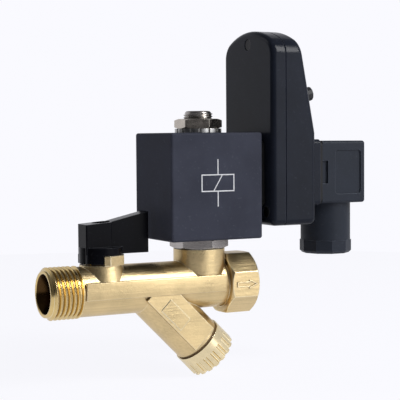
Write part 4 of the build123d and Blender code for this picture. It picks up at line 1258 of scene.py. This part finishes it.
@dataclass
class CoilStud:
    """Fixed core of the solenoid with the threaded stub that holds the coil's nut."""

    finisher: Finisher
    core_radius: float = 5.25 * MM
    neck_radius: float = 6.6 * MM
    stub_radius: float = 6.0 * MM
    stub_length: float = 9.2 * MM
    neck_length: float = 12.1 * MM
    ring_inner: float = 3.15 * MM
    ring_outer: float = 4.05 * MM
    ring_depth: float = 1.05 * MM
    thread_depth: float = 0.55 * MM
    thread_sunk: float = 0.1 * MM
    undercut: float = 1.6 * MM
    run_out: float = 0.25 * MM
    pitch: float = 1.0 * MM
    chamfer: float = 0.7 * MM
    chamfer_slope: float = 0.9
    centre_radius: float = 1.1 * MM
    centre_depth: float = 0.7 * MM
    clear: float = 10 * MM

    def build(self) -> None:
        """Build the core with its stub."""
        low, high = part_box("fixed_core")
        centre = (low + high) / 2
        top = high.z - low.z
        neck_top = top - self.stub_length
        neck_low = neck_top - self.neck_length
        root = self.stub_radius - self.thread_depth
        shoulder = top - self.chamfer
        core = Form().lathe([
            (0.0, 0.0), (self.ring_inner, 0.0), (self.ring_inner, self.ring_depth), (self.ring_outer, self.ring_depth),
            (self.ring_outer, 0.0), (self.core_radius, 0.0), (self.core_radius, neck_low),
            (self.neck_radius, neck_low), (self.neck_radius, neck_top), (root, neck_top), (root, shoulder),
            (root - self.chamfer + self.thread_sunk, top), (self.centre_radius, top), (0.0, top - self.centre_depth)])
        start = neck_top + self.undercut
        turns = (self.stub_length - self.undercut - self.run_out) / self.pitch - 1.0
        foot = root - self.thread_sunk
        section = ((foot, 0.0), (self.stub_radius, 0.42), (self.stub_radius, 0.56), (foot, 0.96))
        core.ridge([(radius, start + share * self.pitch) for radius, share in section], self.pitch, turns)
        core.within(lambda z: self.stub_radius + self.clear if z < shoulder
                    else self.stub_radius - (z - shoulder) * self.chamfer_slope)
        core.place(Matrix.Translation((centre.x, centre.y, low.z)))
        core.piece("threaded_core_stud", "stainless_steel", self.finisher.slot("stainless_steel"), ["fixed_core"],
                   sharp=50.0)


@dataclass
class TimerDials:
    """Printed scales round the two time knobs on the timer's slope."""

    finisher: Finisher
    radius: float = 4.3 * MM
    tick_length: float = 0.9 * MM
    tick_width: float = 0.2 * MM
    major_tick: float = 1.3
    major_every: int = 5
    numeral_radius: float = 5.9 * MM
    numeral_size: float = 1.5 * MM
    numeral_every: int = 2
    ink: float = 0.03 * MM
    sweep: float = 150.0
    marks: int = 11

    def build(self, joints: Sequence[dict]) -> None:
        """Print a scale round each knob.

        Args:
            joints: the frame's joints, whose knob joints give the centres and the slope.
        """
        for joint in joints:
            if not joint["name"].endswith("_time_turn"):
                continue
            label = joint["name"][:-len("_turn")]
            seat = seat_on(Vector(joint["pos_m"]), Vector((0, 1, 0)), Vector(joint["axis"]).normalized())
            for part, form in (("ticks", self.ticks()), ("numbers", self.numerals())):
                form.place(seat).piece(f"{label}_scale_{part}", "timer_plastic", self.finisher.of(INK_FINISH))

    def angles(self) -> List[float]:
        """Angles of the marks from straight up, in radians, from the lowest mark to the highest."""
        step = 2 * self.sweep / (self.marks - 1)
        return [math.radians(self.sweep - step * index) for index in range(self.marks)]

    def ticks(self) -> Form:
        """Print the ticks of one scale.

        Returns:
            The ticks' form.
        """
        form = Form()
        for index, angle in enumerate(self.angles()):
            reach = self.tick_length * (1.0 if index % self.major_every else self.major_tick)
            corners = rectangle(-self.tick_width / 2, self.tick_width / 2, self.radius, self.radius + reach)
            form.plate([tuple(Matrix.Rotation(angle, 2) @ Vector(corner)) for corner in corners], self.ink)
        return form

    def numerals(self) -> Form:
        """Print the plain numbers of one scale.

        Returns:
            The numbers' form.
        """
        form = Form()
        for index, angle in list(enumerate(self.angles()))[::self.numeral_every]:
            mesh = self.numeral(str(index))
            spot = Matrix.Rotation(angle, 2) @ Vector((0.0, self.numeral_radius))
            mesh.transform(Matrix.Translation((spot.x, spot.y, self.ink / 2)))
            form.take(mesh)
        bmesh.ops.remove_doubles(form.bm, verts=form.bm.verts, dist=MERGE)
        return form

    def numeral(self, digits: str) -> bpy.types.Mesh:
        """Make one number's mesh, centred on 0.

        Args:
            digits: the number.

        Returns:
            The mesh.
        """
        curve = bpy.data.curves.new("numeral", "FONT")
        curve.body = digits
        curve.size = self.numeral_size
        curve.align_x = "CENTER"
        curve.align_y = "CENTER"
        curve.extrude = self.ink / 2
        holder = bpy.data.objects.new("numeral", curve)
        bpy.context.scene.collection.objects.link(holder)
        bpy.context.view_layer.update()
        mesh = bpy.data.meshes.new_from_object(holder.evaluated_get(bpy.context.evaluated_depsgraph_get()))
        bpy.data.objects.remove(holder)
        bpy.data.curves.remove(curve)
        return mesh


@dataclass
class CoilMark:
    """Generic winding symbol printed on the coil's broad face."""

    finisher: Finisher
    width: float = 15.0 * MM
    height: float = 7.0 * MM
    stroke: float = 0.45 * MM
    lead: float = 6.0 * MM
    slash: float = 4.2 * MM
    ink: float = 0.03 * MM
    rise: float = 1.5 * MM

    def build(self) -> None:
        """Print the symbol: a box with a slash, and a lead above and below it."""
        low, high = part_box("coil_housing")
        middle = (low + high) / 2
        w, h, s = self.width / 2, self.height / 2, self.stroke
        form = Form().outline(rectangle(-w, w, -h, h), s, self.ink)
        form.plate(rectangle(-s / 2, s / 2, -h - self.lead, -h), self.ink)
        form.plate(rectangle(-s / 2, s / 2, h, h + self.lead), self.ink)
        form.plate([(-self.slash / 2, -h + s), (-self.slash / 2 + s, -h + s), (self.slash / 2, h - s),
                    (self.slash / 2 - s, h - s)], self.ink)
        form.place(seat_on(Vector((middle.x, low.y, middle.z + self.rise)), Vector((1, 0, 0)), Vector((0, -1, 0))))
        form.piece("coil_winding_symbol", "coil_resin", self.finisher.of(INK_FINISH))


# ----------------------------------------------------------------------------------------
# Studio
# ----------------------------------------------------------------------------------------


@dataclass(frozen=True)
class Softbox:
    """A rectangular soft lamp that faces the valve."""

    name: str
    place: Point3
    size: Point2
    power: float

    def hang(self, aim: Point3) -> None:
        """Hang the lamp.

        Args:
            aim: the point that it faces.
        """
        data = bpy.data.lights.new(self.name, "AREA")
        data.shape = "RECTANGLE"
        data.size, data.size_y = self.size
        data.energy = self.power
        lamp = bpy.data.objects.new(self.name, data)
        away = Vector(aim) - Vector(self.place)
        lamp.matrix_world = Matrix.Translation(self.place) @ away.to_track_quat("-Z", "Y").to_matrix().to_4x4()
        bpy.context.scene.collection.objects.link(lamp)


@dataclass(frozen=True)
class Flag:
    """A dark board round the studio: reflections fade towards it."""

    towards: Point3
    start: float
    full: float
    left: float

    def fade(self, net: NodeNet, direction: Socket) -> Socket:
        """Fade a level towards the board.

        Args:
            net: the nodes.
            direction: the direction that is looked in.

        Returns:
            The socket of a factor from 1 down to what the board leaves.
        """
        return net.remap(net.dot(direction, self.towards), (self.start, self.full), (1.0, self.left), smooth=True)


DARK_SIDE = (-0.76, -0.65, 0.0)


@dataclass
class Studio:
    """Pale floor, soft lamps, white surroundings and the camera."""

    target: Point3 = (0.06926, 0.0, 0.03465)
    distance: float = 0.4981
    heading: float = -27.87
    lift: float = 2.97
    roll: float = -0.40
    lens: float = 108.4
    sensor: float = 36.0
    clip: Point2 = (0.01, 20.0)
    backdrop: Colour = (0.955, 0.955, 1.0)
    mirrored: float = 0.80
    fill: float = 0.30
    softboxes: Tuple[Softbox, ...] = (
        Softbox("key_softbox", (0.43, -0.48, 0.51), (0.20, 0.38), 3.6),
        Softbox("fill_softbox", (0.46, -0.74, 0.03), (0.60, 0.60), 1.5),
        Softbox("rear_softbox", (-0.50, 0.55, 0.60), (0.30, 0.30), 0.2),
    )
    flags: Tuple[Flag, ...] = (
        Flag(DARK_SIDE, 0.42, 0.86, 0.10),
        Flag((0.0, 0.0, 1.0), 0.30, 0.80, 0.20),
        Flag((-1.0, 0.0, 0.0), 0.55, 0.86, 0.18),
    )
    paper: Colour = (0.80, 0.80, 0.83)
    floor_middle: float = 0.07
    floor_radius: float = 0.55
    floor_glow: float = 1.045
    floor_white: float = 0.90
    floor_fade: Point2 = (0.05, 0.35)
    floor_shine: Point2 = (0.75, 0.08)

    def camera(self) -> None:
        """Stand the camera where it sees the flow arrow's flank and the inlet's mouth."""
        yaw, pitch = math.radians(-self.heading), math.radians(self.lift)
        forward = Vector((math.sin(yaw) * math.cos(pitch), math.cos(yaw) * math.cos(pitch), -math.sin(pitch)))
        data = bpy.data.cameras.new("studio_camera")
        data.sensor_width = self.sensor
        data.lens = self.lens
        data.clip_start, data.clip_end = self.clip
        data.dof.use_dof = False
        made = bpy.data.objects.new("studio_camera", data)
        turn = forward.to_track_quat("-Z", "Y").to_matrix() @ Matrix.Rotation(math.radians(self.roll), 3, "Z")
        made.matrix_world = Matrix.Translation(Vector(self.target) - forward * self.distance) @ turn.to_4x4()
        bpy.context.scene.collection.objects.link(made)
        bpy.context.scene.camera = made

    def surroundings(self) -> None:
        """Make the world: white where the camera looks, and dark beyond the flags in metal and gloss."""
        world = bpy.data.worlds.new("studio_world")
        world.use_nodes = True
        net = NodeNet(world.node_tree)
        place = net.node("ShaderNodeTexCoord").outputs["Generated"]
        ray = net.node("ShaderNodeLightPath").outputs
        share: Union[Socket, float] = self.mirrored
        for flag in self.flags:
            share = net.calculate("MULTIPLY", share, flag.fade(net, place))
        seen, mirrored, lit = (self.sky(net, strength) for strength in (1.0, share, self.fill))
        bent = net.calculate("MAXIMUM", ray["Is Glossy Ray"], ray["Is Transmission Ray"])
        unseen = net.choose(bent, lit, mirrored)
        net.surface("ShaderNodeOutputWorld", net.choose(ray["Is Camera Ray"], unseen, seen))
        bpy.context.scene.world = world

    def sky(self, net: NodeNet, strength: Union[Socket, float]) -> Socket:
        """Add a background of the backdrop's colour.

        Args:
            net: the world's nodes.
            strength: its strength, as a socket or a number.

        Returns:
            The background's socket.
        """
        node = net.node("ShaderNodeBackground")
        node.inputs["Color"].default_value = (*self.backdrop, 1.0)
        net.feed(node.inputs["Strength"], strength)
        return node.outputs[0]

    def floor(self, height: float) -> None:
        """Lay the pale floor just under the valve.

        Args:
            height: the floor's height.
        """
        form = bmesh.new()
        bmesh.ops.create_circle(form, cap_ends=True, radius=self.floor_radius, segments=96)
        bmesh.ops.translate(form, vec=(self.floor_middle, 0, height), verts=form.verts)
        mesh = bpy.data.meshes.new("studio_floor")
        form.to_mesh(mesh)
        form.free()
        mesh.materials.append(self.floor_paper())
        made = bpy.data.objects.new("studio_floor", mesh)
        bpy.context.scene.collection.objects.link(made)
        made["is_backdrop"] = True

    def floor_paper(self) -> bpy.types.Material:
        """Build the floor's material: white to the camera but for its shadow, dimmer in metal to the dark side.

        Returns:
            The material.
        """
        material = bpy.data.materials.new("floor_paper")
        material.use_nodes = True
        net = NodeNet(material.node_tree)
        matt, glow = net.node("ShaderNodeBsdfDiffuse"), net.node("ShaderNodeEmission")
        matt.inputs["Color"].default_value = (*self.paper, 1.0)
        glow.inputs["Color"].default_value = (*self.backdrop, 1.0)
        glow.inputs["Strength"].default_value = self.floor_glow
        ray = net.node("ShaderNodeLightPath").outputs
        aside = net.dot(net.node("ShaderNodeNewGeometry").outputs["Position"], DARK_SIDE)
        dim = net.remap(aside, self.floor_fade, self.floor_shine, smooth=True)
        shine = net.calculate("MULTIPLY", ray["Is Glossy Ray"], dim)
        share = net.calculate("MULTIPLY_ADD", ray["Is Camera Ray"], self.floor_white, shine)
        net.surface("ShaderNodeOutputMaterial", net.choose(share, matt.outputs[0], glow.outputs[0]))
        return material

    def build(self, height: float) -> None:
        """Set up the whole studio.

        Args:
            height: the floor's height.
        """
        bpy.context.scene.view_settings.view_transform = "Standard"
        self.floor(height)
        self.surroundings()
        for softbox in self.softboxes:
            softbox.hang(self.target)
        self.camera()


# ----------------------------------------------------------------------------------------
# Building the whole scene
# ----------------------------------------------------------------------------------------

FLOOR_GAP = 0.2 * MM


def clear_startup() -> None:
    """Remove whatever the startup file put in the scene."""
    for thing in list(bpy.data.objects):
        bpy.data.objects.remove(thing)


def main() -> None:
    """Dress the frame, build the extra pieces and set up the studio."""
    logging.basicConfig(level=logging.INFO, format="%(message)s")
    clear_startup()
    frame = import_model()
    cad_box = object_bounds()
    finisher = Finisher()
    for part in frame["record"]["subparts"]:
        name = part["node"]
        finisher.dress(frame["nodes"][name], NODE_FINISHES.get(name, FINISHES[part["material_slot"]]))
    LOG.info("dressed %d CAD nodes", len(frame["nodes"]))
    ThreadedInlet(finisher).build()
    OutletEnd(finisher).build()
    ForgedFlanks(finisher).build(frame["joints"])
    CoilStud(finisher).build()
    TimerDials(finisher).build(frame["joints"])
    CoilMark(finisher).build()
    Studio().build(cad_box[0].z - FLOOR_GAP)
    bpy.context.view_layer.update()


if __name__ == "__main__":
    main()
